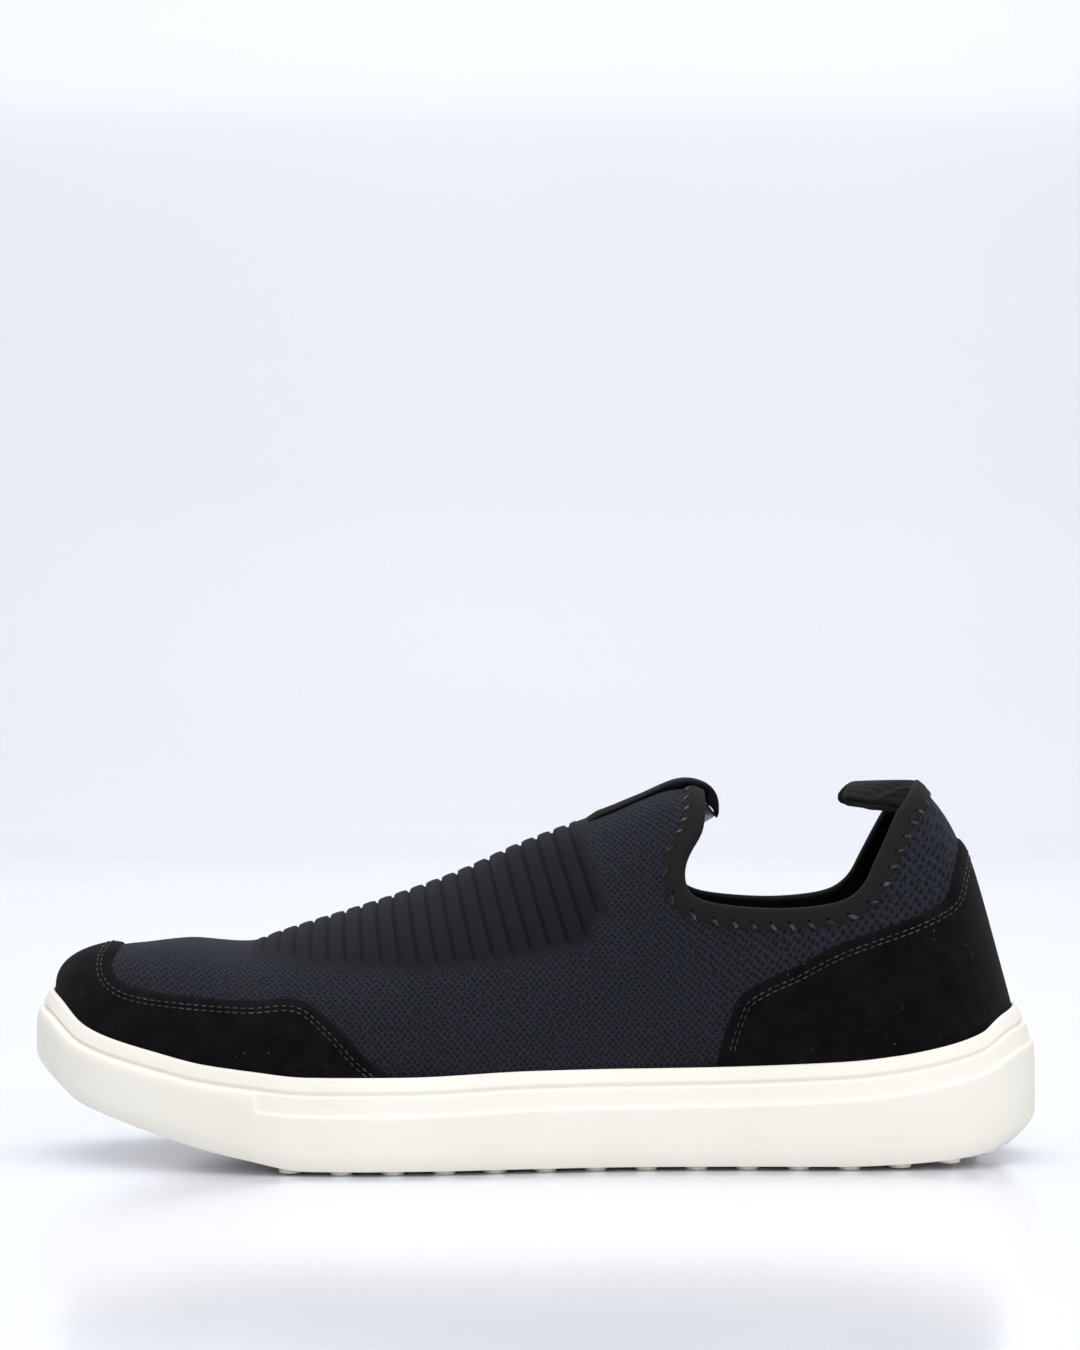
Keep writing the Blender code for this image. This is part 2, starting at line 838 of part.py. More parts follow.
# Overlays: suede toe guard and heel counter, cut between two larger forms of the upper.

def overlay(name, edge, tuck_edge):
    """A skin over the knit, bounded above by edge and below by a line just inside the cup."""
    skin = lofted(name, sock_rings(clearance + overlay_thickness, plain_columns()))
    core = lofted(name + "_core", sock_rings(clearance, plain_columns(), foot_extra=core_depth))
    combine(skin, core, "DIFFERENCE")
    combine(skin, side_prism(name + "_outline", edge + tuck_edge), "INTERSECT")
    return finished(settled(skin), (0.008, 0.008, 0.010), 1.0)


def tuck_line(start, end):
    """The overlay's lower edge, from start to end along the shoe, just below the rim."""
    points = []
    for i in range(tuck_steps + 1):
        from_heel = mix(start, end, i / tuck_steps)
        height = rim_height(min(max(from_heel, 0.0), 1.0)) - overlay_tuck
        points.append(Vector((place_x(from_heel), height)))
    return points


def make_toe_guard():
    edge = side_edge(TOE_GUARD_EDGE, sole_height, toe_box_height)
    lead = [Vector((place_x(1.0 + cut_beyond), edge[0].y))]
    start = TOE_GUARD_EDGE[-1][0]
    trimmed = [p for p in edge if p.y > rim_height(0.5 - p.x / shoe_length) - overlay_tuck]
    return overlay("toe_guard", lead + trimmed, tuck_line(start + cut_overrun, 1.0 + cut_beyond))


def make_heel_counter():
    edge = side_edge(COUNTER_EDGE, sole_height, collar_low_height)
    trimmed = [p for p in edge if p.y > rim_height(0.5 - p.x / shoe_length) - overlay_tuck]
    tail = [Vector((place_x(-cut_beyond), edge[-1].y))]
    start = COUNTER_EDGE[0][0]
    return overlay("heel_counter", trimmed + tail, tuck_line(-cut_beyond, start + cut_overrun))


# Collar binding: an elastic tape folded over the edge of the knit, all round the opening.

def binding_band(name, outer, inner, near, far):
    """The part of a skin over the knit that lies between two distances below the collar."""
    columns = plain_columns()
    rim = side_edge(COLLAR_EDGE, collar_low_height, instep_height)
    band = shifted(rim, -near) + list(reversed(shifted(rim, -far)))
    skin = lofted(name, sock_rings(outer, columns))
    core = lofted(name + "_core", sock_rings(-inner, columns, foot_extra=core_depth))
    combine(skin, core, "DIFFERENCE")
    combine(skin, side_prism(name + "_outline", band), "INTERSECT")
    return skin


def make_binding():
    reach = clearance + binding_thickness
    tape = binding_band("collar_binding", reach, knit_wall + reach, 0.0, binding_width)
    slot = binding_band("binding_slot", clearance, knit_wall + clearance,
                        binding_lip - clearance, binding_width + binding_lip)
    combine(tape, settled(slot), "DIFFERENCE")
    return finished(settled(tape), (0.030, 0.030, 0.030), 0.8)


# Tongue tab: a smooth strip along the top of the instep that curls over the collar's front.

def crest_surface(place, aside):
    """A point of the upper near its crest, at a place along the shoe and a way to the side."""
    from_heel = heel_share(crest_angle(place))
    crest = crest_point(from_heel)
    side = math.acos(1.0 - 2.0 * from_heel)
    angle = side if aside < 0.0 else 2.0 * math.pi - side
    foot = knit_foot(angle)
    share = 1.0 - abs(aside) / abs(foot.y - crest.y)
    power = fullness(angle)
    upward = (1.0 - (1.0 - share) ** power) ** (1.0 / power)
    return Vector((mix(foot.x, crest.x, upward), crest.y + aside, mix(foot.z, crest.z, upward)))


def crest_normal(place, aside):
    """The way the upper faces there."""
    step = 0.004
    along = crest_surface(place - step, aside) - crest_surface(place + step, aside)
    across = (crest_surface(place, aside + step * shoe_length)
              - crest_surface(place, aside - step * shoe_length))
    return along.cross(across).normalized()


def make_tab():
    """Follows the knit, rises over the binding and ends in a nose in front of the collar."""
    low, high = [], []
    for i in range(tab_stations):
        behind = tab_length * (1.0 - i / (tab_stations - 1))
        place = collar_front + behind / shoe_length
        over_tape = 1.0 - ease(behind, tab_ramp_start, tab_ramp_start + tab_ramp_length)
        under = clearance + (binding_thickness + 1.5 * clearance) * over_tape
        across = [tab_width * (k / 4.0 - 0.5) for k in range(5)]
        skin = [(crest_surface(place, y), crest_normal(place, y)) for y in across]
        low.append([p + n * under for p, n in skin])
        crown = tab_crown * (1.0 - ease(behind, 0.5 * binding_width, 2.0 * binding_width))
        high.append([p + n * (under + tab_thickness + crown) for p, n in skin])
    fall = math.atan2(low[-2][2].z - low[-1][2].z, low[-1][2].x - low[-2][2].x)
    inner, outer = low[-1], high[-1]
    back_drop = tab_nose_drop + tab_tail_drop - tab_thickness
    for k in range(1, 6):
        turn = mix(fall, 0.5 * math.pi, k / 5.0)
        ahead = tab_nose_reach * (math.sin(turn) - math.sin(fall))
        down = tab_nose_drop * (math.cos(fall) - math.cos(turn))
        high.append([p + Vector((ahead, 0.0, -down)) for p in outer])
        low.append([p + Vector((clearance, 0.0, -back_drop * k / 6.0)) for p in inner])
    tail = Vector((-tab_tail_return, 0.0, -tab_tail_drop))
    high.append([p + tail for p in high[-1]])
    low.append([p + Vector((clearance, 0.0, -back_drop)) for p in inner])
    return finished(strip_solid("tongue_tab", low, high), (0.018, 0.018, 0.020), 0.6)


def strip_solid(name, low, high):
    """A closed strip between two grids of points of the same size."""
    bm = bmesh.new()
    under = [[bm.verts.new(p) for p in row] for row in low]
    over = [[bm.verts.new(p) for p in row] for row in high]
    last = len(under[0]) - 1
    for a, b in zip(range(len(under)), range(1, len(under))):
        for k in range(last):
            bm.faces.new((under[a][k], under[b][k], under[b][k + 1], under[a][k + 1]))
            bm.faces.new((over[a][k], over[a][k + 1], over[b][k + 1], over[b][k]))
        for k in (0, last):
            bm.faces.new((under[a][k], under[b][k], over[b][k], over[a][k]))
    for row in (0, len(under) - 1):
        for k in range(last):
            bm.faces.new((under[row][k], under[row][k + 1], over[row][k + 1], over[row][k]))
    bmesh.ops.triangulate(bm, faces=bm.faces)
    bmesh.ops.recalc_face_normals(bm, faces=bm.faces)
    return as_object(name, bm)


# Heel loop: ribbed webbing folded double, arched over the back of the opening.

def make_loop():
    """Sweeps the folded strap's closed path, and drops its two sides into an arch."""
    root_x = place_x(loop_root_place) - clearance - loop_setback
    root_z = tread_height + mix(collar_low_height, instep_height, loop_root_rise)
    half = 0.5 * (loop_gap + loop_thickness)
    nose = loop_reach - half
    path = [(nose * k / 4.0, half) for k in range(5)]
    for k in range(1, 6):
        turn = math.pi * k / 6.0
        path.append((nose + half * math.sin(turn), half * math.cos(turn)))
    path += [(nose * (1.0 - k / 4.0), -half) for k in range(5)]
    low, high = [], []
    across = [loop_width * (k / 6.0 - 0.5) for k in range(7)]
    for i, (reach, lift) in enumerate(path):
        before, after = path[max(i - 1, 0)], path[min(i + 1, len(path) - 1)]
        along = Vector((after[0] - before[0], after[1] - before[1])).normalized()
        out = Vector((-along.y, along.x)) * 0.5 * loop_thickness
        for rows, side in ((low, -1.0), (high, 1.0)):
            spot = Vector((reach, lift)) + out * side
            row = []
            for y in across:
                ahead, down = sag(spot.x, y)
                row.append(Vector((root_x - spot.x - ahead, y, root_z + spot.y - down)))
            rows.append(row)
    loop = strip_solid("heel_loop", low, high)
    return finished(loop, (0.028, 0.028, 0.028), 0.85)


def sag(reach, aside):
    """How far the loop leans forwards and sinks, at a distance from its root and from its middle."""
    share = reach / loop_reach
    droop = loop_droop * (2.0 * aside / loop_width) ** 2 * mix(loop_root_droop, 1.0, share)
    return loop_lean * droop * share, droop + loop_nod * share ** 2


for old in list(bpy.data.objects):
    bpy.data.objects.remove(old)
shoe = bpy.data.collections.new("slip_on_sneaker")
cutters = bpy.data.collections.new("cutters")
bpy.context.scene.collection.children.link(shoe)
bpy.context.scene.collection.children.link(cutters)

make_sole()
make_insole()
make_upper()
make_toe_guard()
make_heel_counter()
make_binding()
make_tab()
make_loop()
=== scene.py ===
import bisect
import functools
import math

import bmesh
import bpy
from mathutils import Matrix, Vector
from mathutils.bvhtree import BVHTree


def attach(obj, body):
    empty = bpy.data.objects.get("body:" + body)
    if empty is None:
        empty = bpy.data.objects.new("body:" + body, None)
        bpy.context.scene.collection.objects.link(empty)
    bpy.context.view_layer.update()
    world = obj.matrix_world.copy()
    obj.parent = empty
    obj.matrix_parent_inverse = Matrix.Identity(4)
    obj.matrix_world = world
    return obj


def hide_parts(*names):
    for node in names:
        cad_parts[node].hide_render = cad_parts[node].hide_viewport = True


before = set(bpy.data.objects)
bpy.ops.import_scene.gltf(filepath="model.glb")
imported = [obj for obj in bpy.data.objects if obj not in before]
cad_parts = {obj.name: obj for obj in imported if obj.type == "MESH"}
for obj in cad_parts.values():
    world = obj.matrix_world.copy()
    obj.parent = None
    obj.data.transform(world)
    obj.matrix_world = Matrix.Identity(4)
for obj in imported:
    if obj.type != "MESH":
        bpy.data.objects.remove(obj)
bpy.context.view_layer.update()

# Sole
# One cup moulded from off-white rubber compound, with a groove under its rim, a proud lower panel,
# a proud toe bumper and round tread studs. The knit and the suede are cemented inside its rim.
shoe_length = 0.298
ball_width = 0.102
heel_width = 0.078
clearance = 0.0003
sole_height = 0.0267
toe_rim_lift = 0.0205
heel_rim_lift = 0.0160
toe_spring = 0.0245
heel_bevel = 0.0073
tread_height = 0.0014
tread_diameter = 0.0066
tread_pitch = 0.0147
tread_edge_margin = 0.0026
tread_end = 0.775
tread_rows = 4
closest_studs = 0.85 * tread_pitch
stud_root = 0.0006
stud_edge_round = 0.0005
side_lean = 0.0020
toe_lean = 0.0036
heel_lean = 0.0051
lean_start = 0.55
side_tuck = 0.0012
end_tuck = 0.0042
lip_width = 0.0010
edge_round = 0.0030
groove_drop = 0.0047
groove_width = 0.0020
groove_depth = 0.0008
ledge_drop = 0.0108
ledge_step = 0.0007
panel_margin = 0.0010
toe_bumper_length = 0.0690
ball_bed_height = 0.0120
heel_bed_height = 0.0200
bed_toe_share = 0.72
waist_span = (0.30, 0.62)
spine_shift = 0.02
toe_tip_shift = 0.055

# Widths are shares of the shoe's own width there.
OUTLINE = [
    # from_heel, lateral, medial
    (0.020, 0.262, 0.250),
    (0.050, 0.388, 0.368),
    (0.100, 0.466, 0.444),
    (0.200, 0.500, 0.474),
    (0.300, 0.494, 0.452),
    (0.400, 0.474, 0.412),
    (0.500, 0.466, 0.408),
    (0.600, 0.486, 0.456),
    (0.670, 0.500, 0.490),
    (0.740, 0.485, 0.500),
    (0.820, 0.428, 0.478),
    (0.900, 0.328, 0.402),
    (0.955, 0.222, 0.302),
]

# Heights of the rim and of the base are shares of the lifts at heel and toe.
SOLE_LINES = [
    # from_heel, rim_heel, rim_toe, base_heel, base_toe
    (0.000, 1.10, 0.00, 1.00, 0.00),
    (0.022, 1.00, 0.00, 0.72, 0.00),
    (0.060, 0.66, 0.00, 0.38, 0.00),
    (0.092, 0.50, 0.00, 0.22, 0.00),
    (0.143, 0.32, 0.00, 0.07, 0.00),
    (0.200, 0.21, 0.00, 0.00, 0.00),
    (0.340, 0.11, 0.00, 0.00, 0.00),
    (0.500, 0.08, 0.00, 0.00, 0.00),
    (0.630, 0.00, 0.00, 0.00, 0.00),
    (0.718, 0.00, 0.00, 0.00, 0.00),
    (0.775, 0.00, 0.07, 0.00, 0.11),
    (0.825, 0.00, 0.15, 0.00, 0.235),
    (0.875, 0.00, 0.30, 0.00, 0.395),
    (0.926, 0.00, 0.48, 0.00, 0.58),
    (0.955, 0.00, 0.64, 0.00, 0.70),
    (0.985, 0.00, 0.96, 0.00, 0.90),
    (1.000, 0.00, 1.06, 0.00, 1.00),
]


def smooth_table(rows, column):
    """A smooth curve through one column of a table, with no overshoot between its rows."""
    xs = [row[0] for row in rows]
    ys = [row[column] for row in rows]
    steps = [xs[i + 1] - xs[i] for i in range(len(xs) - 1)]
    slopes = [(ys[i + 1] - ys[i]) / steps[i] for i in range(len(steps))]
    tangents = [slopes[0]]
    for before, after in zip(slopes, slopes[1:]):
        level = before * after <= 0.0
        tangents.append(0.0 if level else 2.0 * before * after / (before + after))
    tangents.append(slopes[-1])

    def value(x):
        x = min(max(x, xs[0]), xs[-1])
        i = min(bisect.bisect_right(xs, x) - 1, len(steps) - 1)
        share = (x - xs[i]) / steps[i]
        square, cube = share * share, share ** 3
        return ((2 * cube - 3 * square + 1) * ys[i]
                + (cube - 2 * square + share) * steps[i] * tangents[i]
                + (3 * square - 2 * cube) * ys[i + 1]
                + (cube - square) * steps[i] * tangents[i + 1])

    return value


def ease(x, start, end):
    """Rises smoothly from 0 at start to 1 at end."""
    share = min(max((x - start) / (end - start), 0.0), 1.0)
    return share * share * (3.0 - 2.0 * share)


def mix(a, b, share):
    return a + (b - a) * share


def place_x(from_heel):
    return shoe_length * (0.5 - from_heel)


def from_heel_at(x):
    return 0.5 - x / shoe_length


def angle_at(from_heel):
    """The angle on the outer side that lies this share of the length from the heel."""
    return math.acos(1.0 - 2.0 * from_heel)


def width_at(from_heel):
    return mix(heel_width, ball_width, ease(from_heel, *waist_span))


def outline_rows():
    """The outline as y by angle: 0 at the heel, pi at the toe, back to 2 pi at the heel."""
    rows = [(0.0, 0.0)]
    for from_heel, lateral, medial in OUTLINE:
        rows.append((angle_at(from_heel), -lateral * width_at(from_heel)))
    rows.append((math.pi, toe_tip_shift * ball_width))
    for from_heel, lateral, medial in reversed(OUTLINE):
        rows.append((math.tau - angle_at(from_heel), medial * width_at(from_heel)))
    rows.append((math.tau, 0.0))
    first = (rows[-2][0] - math.tau, rows[-2][1])
    last = (rows[1][0] + math.tau, rows[1][1])
    return [first] + rows + [last]


outline_y = smooth_table(outline_rows(), 1)
rim_heel, rim_toe, base_heel, base_toe = [smooth_table(SOLE_LINES, k) for k in (1, 2, 3, 4)]


def heel_share(angle):
    return 0.5 - 0.5 * math.cos(angle)


def outline_point(angle):
    return Vector((0.5 * shoe_length * math.cos(angle), outline_y(angle % math.tau), 0.0))


def outline_normal(angle):
    along = outline_point(angle + 0.01) - outline_point(angle - 0.01)
    return Vector((-along.y, along.x, 0.0)).normalized()


def rim_height(from_heel):
    lifts = heel_rim_lift * rim_heel(from_heel) + toe_rim_lift * rim_toe(from_heel)
    return tread_height + sole_height + lifts


def base_height(from_heel):
    return tread_height + heel_bevel * base_heel(from_heel) + toe_spring * base_toe(from_heel)


def bed_height(from_heel):
    flat = mix(heel_bed_height, ball_bed_height, ease(from_heel, *waist_span))
    return tread_height + flat + bed_toe_share * toe_spring * base_toe(from_heel)


def end_mix(angle, side, toe, heel):
    """A size that differs at side, toe and heel, turned by the way the outline faces."""
    facing = outline_normal(angle).x
    return mix(side, toe if facing < 0.0 else heel, facing * facing)


def cup_inset(angle):
    """How far the inner face of the cup's rim lies inside the outline."""
    return end_mix(angle, side_lean, toe_lean, heel_lean) + lip_width


def toward_spine(edge, share, heel_end, toe_end):
    """A point on the way from an edge to the middle line, which ends short of heel and toe."""
    spine_x = min(max(edge.x, place_x(toe_end)), place_x(heel_end))
    return edge.lerp(Vector((spine_x, spine_shift * ball_width, 0.0)), share)


def even_angles(count):
    """Angles of one side at even steps along the outline, closer together at heel and toe."""
    fine, end_crowding = 720, 0.9
    reach = [0.0]
    for i in range(fine):
        a0, a1 = math.pi * i / fine, math.pi * (i + 1) / fine
        lateral = (outline_point(a1) - outline_point(a0)).length
        medial = (outline_point(-a1) - outline_point(-a0)).length
        crowd = 1.0 + end_crowding * abs(math.cos(0.5 * (a0 + a1))) ** 5
        reach.append(reach[-1] + (lateral + medial) * crowd)
    angles = []
    for i in range(count + 1):
        want = reach[-1] * i / count
        j = min(bisect.bisect_right(reach, want) - 1, fine - 1)
        angles.append(math.pi * (j + (want - reach[j]) / (reach[j + 1] - reach[j])) / fine)
    angles[0], angles[-1] = 0.0, math.pi
    return angles


def all_round(half):
    """Columns round the whole shoe from those of one side, ending where they start."""
    return half + [math.tau - a for a in reversed(half[:-1])]


def shaped_grid(columns, rows, place, measure=None, marks=None, flip=False):
    """A grid whose point (column, row) moves to place(column, row). Its UV is in millimetres."""
    bm = bmesh.new()
    uv = bm.loops.layers.uv.new("UVMap")
    layers = {name: bm.verts.layers.float.new(name) for name in (marks or {})}
    bmesh.ops.create_grid(bm, x_segments=columns, y_segments=rows, size=0.5)
    spots = {}
    for vert in bm.verts:
        spot = (round((vert.co.x + 0.5) * columns), round((vert.co.y + 0.5) * rows))
        spots[vert] = spot
        vert.co = place(*spot)
        for name, layer in layers.items():
            vert[layer] = marks[name](*spot)
    if measure:
        for face in bm.faces:
            for loop in face.loops:
                loop[uv].uv = measure(*spots[loop.vert])
    if flip:
        bmesh.ops.reverse_faces(bm, faces=bm.faces)
    return bm


def add_node(tree, kind, settings=None, links=None):
    """Adds a shader node with its settings, which may be a ramp's two colours, and its links."""
    node = tree.nodes.new("ShaderNode" + kind)
    for name, value in (settings or {}).items():
        if name == "stops":
            for stop, (position, code) in zip(node.color_ramp.elements, value):
                stop.position, stop.color = position, colour(code)
        elif isinstance(name, str) and hasattr(node, name):
            setattr(node, name, value)
        else:
            node.inputs[name].default_value = value
    for name, socket in (links or {}).items():
        tree.links.new(socket, node.inputs[name])
    return node


def colour(code):
    """Linear colour from an sRGB hex value."""
    parts = [int(code[i:i + 2], 16) / 255.0 for i in (0, 2, 4)]
    return [c / 12.92 if c <= 0.04045 else ((c + 0.055) / 1.055) ** 2.4 for c in parts] + [1.0]


def new_material(name, roughness, specular=0.5):
    """A material with its Principled shader ready for links."""
    material = bpy.data.materials.new(name)
    material.use_nodes = True
    tree = material.node_tree
    shader = tree.nodes["Principled BSDF"]
    shader.inputs["Roughness"].default_value = roughness
    shader.inputs["Specular IOR Level"].default_value = specular
    return material, tree, shader


def add_piece(name, bm, material):
    """Makes a mesh an object of the scene, shaded smooth."""
    mesh = bpy.data.meshes.new(name)
    bm.to_mesh(mesh)
    bm.free()
    mesh.shade_smooth()
    mesh.materials.append(material)
    piece = bpy.data.objects.new(name, mesh)
    bpy.context.scene.collection.objects.link(piece)
    return piece


def join_shoe(name, bm, material, slot, *replaced, weld=0.00002):
    """Makes a mesh a piece of the shoe and ties it to the frame."""
    bmesh.ops.remove_doubles(bm, verts=bm.verts, dist=weld)
    piece = add_piece(name, bm, material)
    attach(piece, "root")
    if replaced:
        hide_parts(*replaced)
    return piece


def rubber_compound():
    """Moulded rubber compound: off-white, satin, with a very fine pebble from the mould."""
    material, tree, shader = new_material("moulded_rubber_compound", 0.48, 0.45)
    spot = add_node(tree, "TexCoord").outputs["Object"]
    # patches about 30 mm across, where the compound yellows a little
    patch = add_node(tree, "TexNoise", {"Scale": 34.0, "Detail": 3.0}, {"Vector": spot})
    tint = add_node(tree, "ValToRGB", {"stops": ((0.0, "EAE5D9"), (1.0, "F3EFE5"))},
                    {"Fac": patch.outputs["Fac"]})
    tree.links.new(tint.outputs["Color"], shader.inputs["Base Color"])
    # mould grain of about 0.35 mm
    grain = add_node(tree, "TexNoise", {"Scale": 2800.0, "Detail": 2.0}, {"Vector": spot})
    bump = add_node(tree, "Bump", {"Strength": 0.12, "Distance": 0.0001},
                    {"Height": grain.outputs["Fac"]})
    tree.links.new(bump.outputs["Normal"], shader.inputs["Normal"])
    return material


def side_inset(angle, height, below_rim):
    """Inset of the side wall: tucked under at the base, leaning in at the rim, grooved between."""
    from_heel = heel_share(angle)
    base, rim = base_height(from_heel), rim_height(from_heel)
    lean = end_mix(angle, side_lean, toe_lean, heel_lean)
    tuck = end_mix(angle, side_tuck, end_tuck, end_tuck)
    middle = mix(base, rim, lean_start)
    share = max((height - middle) / (rim - middle), 0.0)
    under = max(1.0 - (height - base) / (2.0 * edge_round), 0.0)
    bumper = ease(from_heel, bumper_end - bumper_ramp, bumper_end + bumper_ramp)
    panel = ease(below_rim, ledge_drop - ledge_step, ledge_drop + ledge_step)
    toe_panel = ease(below_rim, groove_drop, groove_drop + groove_width)
    proud = mix(panel, toe_panel, bumper)
    off_groove = min(abs(below_rim - groove_drop) / (0.5 * groove_width), 1.0)
    notch = 0.5 + 0.5 * math.cos(math.pi * off_groove)
    return lean * share * share + tuck * under * under - ledge_step * proud + groove_depth * notch


def sole_place(angle, level):
    """A point of the sole's skin at a level, from the middle of its base round to its bed."""
    zone, amount = level
    from_heel = heel_share(angle)
    base, rim = base_height(from_heel), rim_height(from_heel)
    if zone in ("base", "bed"):
        inset = side_inset(angle, base, rim - base) if zone == "base" else cup_inset(angle)
        edge = outline_point(angle) - outline_normal(angle) * inset
        spot = toward_spine(edge, amount, 0.12, 0.86)
        height_of = base_height if zone == "base" else bed_height
        height_there = height_of(from_heel_at(spot.x))
        spot.z = mix(height_of(from_heel), height_there, min(4.0 * amount, 1.0))
        return spot
    if zone in ("foot", "wall"):
        panel_top = rim - ledge_drop - panel_margin
        height = base + amount if zone == "foot" else mix(base, panel_top, amount)
        inset = side_inset(angle, height, rim - height)
    elif zone == "rim":
        height = rim - amount
        inset = side_inset(angle, height, amount)
        inset += lip_round * (1.0 - ease(amount, 0.0, lip_round)) ** 2
    else:
        height = rim - amount * (rim - bed_height(from_heel))
        inset = cup_inset(angle)
    spot = outline_point(angle) - outline_normal(angle) * inset
    spot.z = height
    return spot


bumper_end = 1.0 - toe_bumper_length / shoe_length
bumper_ramp = 0.0005 / shoe_length
lip_round = 0.0006
sole_levels = [("base", share) for share in (1.0, 0.8, 0.6, 0.4, 0.2, 0.08, 0.0)]
sole_levels += [("foot", mm / 1000.0) for mm in (0.35, 0.8, 1.3, 1.9, 2.6, 3.4, 4.4, 5.4)]
sole_levels += [("wall", share) for share in (0.55, 0.70, 0.85, 1.0)]
sole_levels += [("rim", ledge_drop + ledge_step * k / 2.0) for k in (2, 1, 0.5, 0, -0.5, -1, -2)]
sole_levels += [("rim", mm / 1000.0) for mm in (8.0, 6.6)]
sole_levels += [("rim", groove_drop + groove_width * k / 8.0) for k in range(5, -6, -1)]
sole_levels += [("rim", mm / 1000.0) for mm in (2.6, 1.8, 1.1, 0.7, 0.45, 0.25, 0.1, 0.0)]
sole_levels += [("inside", share) for share in (0.01, 0.06, 0.5, 1.0)]
sole_levels += [("bed", share) for share in (0.1, 0.5, 1.0)]
# the columns stand closer at the step of the toe bumper
bumper_marks = [angle_at(bumper_end + k * bumper_ramp) for k in (-1.5, -0.6, 0, 0.6, 1.5)]
mark_room = 0.006
half = [a for a in even_angles(230) if min(abs(a - mark) for mark in bumper_marks) > mark_room]
sole_columns = all_round(sorted(half + bumper_marks))


def inside(spot, edge):
    """Whether a spot lies inside a closed outline of (x, y) pairs."""
    hit = False
    for i, p in enumerate(edge):
        q = edge[i - 1]
        if (p[1] > spot[1]) != (q[1] > spot[1]):
            if spot[0] < p[0] + (spot[1] - p[1]) / (q[1] - p[1]) * (q[0] - p[0]):
                hit = not hit
    return hit


def even_walk(points, step):
    """Spots along a closed line of points, as near to a step apart as comes out even."""
    ends = points[1:] + points[:1]
    total = sum((q - p).length for p, q in zip(points, ends))
    step = total / max(round(total / step), 1)
    spots, left = [], 0.5 * step
    for p, q in zip(points, ends):
        length = (q - p).length
        while left <= length:
            spots.append(p.lerp(q, left / length))
            left += step
        left -= length
    return spots


def add_studs(bm):
    """Round studs in rows that follow the edge of the tread, up to where the toe rises."""
    edge = all_round(even_angles(224))[:-1]
    taken, rims = [], []
    depth = tread_height + stud_root
    for row in range(tread_rows):
        inset = tread_edge_margin + 0.5 * tread_diameter + row * tread_pitch
        line = [outline_point(a)
                - outline_normal(a) * (inset + end_mix(a, 0.0, end_tuck, end_tuck)) for a in edge]
        for spot in even_walk(line, tread_pitch):
            if any((spot - other).length < closest_studs for other in taken):
                continue
            taken.append(spot.copy())
            if spot.x < place_x(tread_end):
                continue
            spot.z = base_height(from_heel_at(spot.x)) - tread_height + 0.5 * depth
            stud = bmesh.ops.create_cone(
                bm, cap_ends=True, segments=20, radius1=0.5 * tread_diameter,
                radius2=0.5 * tread_diameter, depth=depth, matrix=Matrix.Translation(spot))
            low = {v for v in stud["verts"] if v.co.z < spot.z}
            rims += {e for v in low for e in v.link_edges if e.other_vert(v) in low}
    bmesh.ops.bevel(bm, geom=rims, offset=stud_edge_round, segments=2, profile=0.5,
                    affect="EDGES", material=-1)


bm = shaped_grid(len(sole_columns) - 1, len(sole_levels) - 1,
                 lambda i, k: sole_place(sole_columns[i], sole_levels[k]), flip=True)
bmesh.ops.remove_doubles(bm, verts=bm.verts, dist=0.00002)
add_studs(bm)
sole = join_shoe("sole_cup", bm, rubber_compound(), "sole_rubber", "sole")
sole.data.set_sharp_from_angle(angle=math.radians(50.0))

# Knit upper
# One seamless sock of charcoal polyester, knitted on a flat machine with a staggered mesh of small
# holes. Twenty grooves over the instep leave plain ribs between them. It goes down into the cup.
knit_wall = 0.0022
toe_box_height = 0.0615
instep_height = 0.1080
collar_low_height = 0.0745
heel_top_rise = 0.0130
heel_slant = 0.49
heel_roundness = 6.8
toe_roundness = 2.50
overlay_thickness = 0.0012
rib_count = 20
rib_pitch = 0.00478
rib_groove_width = 0.0013
rib_groove_depth = 0.0009
rib_crown = 0.0003
rib_front = 0.2300
collar_front = 0.3300
binding_lip = 0.0012
guard_fade = (0.560, 0.610)
counter_fade = (0.350, 0.400)
toe_fan = (0.78, 0.93)
heel_fan = (0.07, 0.24)

# A meridian of the last that starts at from_heel on the sole ends at crest_at.
CREST = [
    # from_heel, crest_at
    (0.000, 0.164),
    (0.030, 0.170),
    (0.097, 0.208),
    (0.198, 0.295),
    (0.299, 0.389),
    (0.386, 0.467),
    (0.447, 0.515),
    (0.527, 0.578),
    (0.607, 0.642),
    (0.689, 0.708),
    (0.757, 0.772),
    (0.836, 0.829),
    (0.903, 0.859),
    (0.970, 0.873),
    (1.000, 0.876),
]

# The crest's height as shares of the rises over the instep and the heel, and its medial shift.
SECTIONS = [
    # crest_at, instep_rise, heel_rise, medial_shift
    (0.164, 1.00, 0.80, 0.000),
    (0.195, 1.00, 0.55, 0.000),
    (0.230, 0.96, 0.25, 0.002),
    (0.265, 0.930, 0.00, 0.003),
    (0.300, 0.935, 0.00, 0.004),
    (0.330, 0.980, 0.00, 0.006),
    (0.345, 1.020, 0.00, 0.008),
    (0.364, 1.012, 0.00, 0.012),
    (0.394, 0.948, 0.00, 0.018),
    (0.424, 0.870, 0.00, 0.024),
    (0.454, 0.800, 0.00, 0.030),
    (0.515, 0.650, 0.00, 0.036),
    (0.575, 0.475, 0.00, 0.040),
    (0.635, 0.330, 0.00, 0.042),
    (0.696, 0.202, 0.00, 0.044),
    (0.756, 0.088, 0.00, 0.046),
    (0.790, 0.028, 0.00, 0.048),
    (0.840, 0.030, 0.00, 0.050),
    (0.876, 0.002, 0.00, 0.052),
]
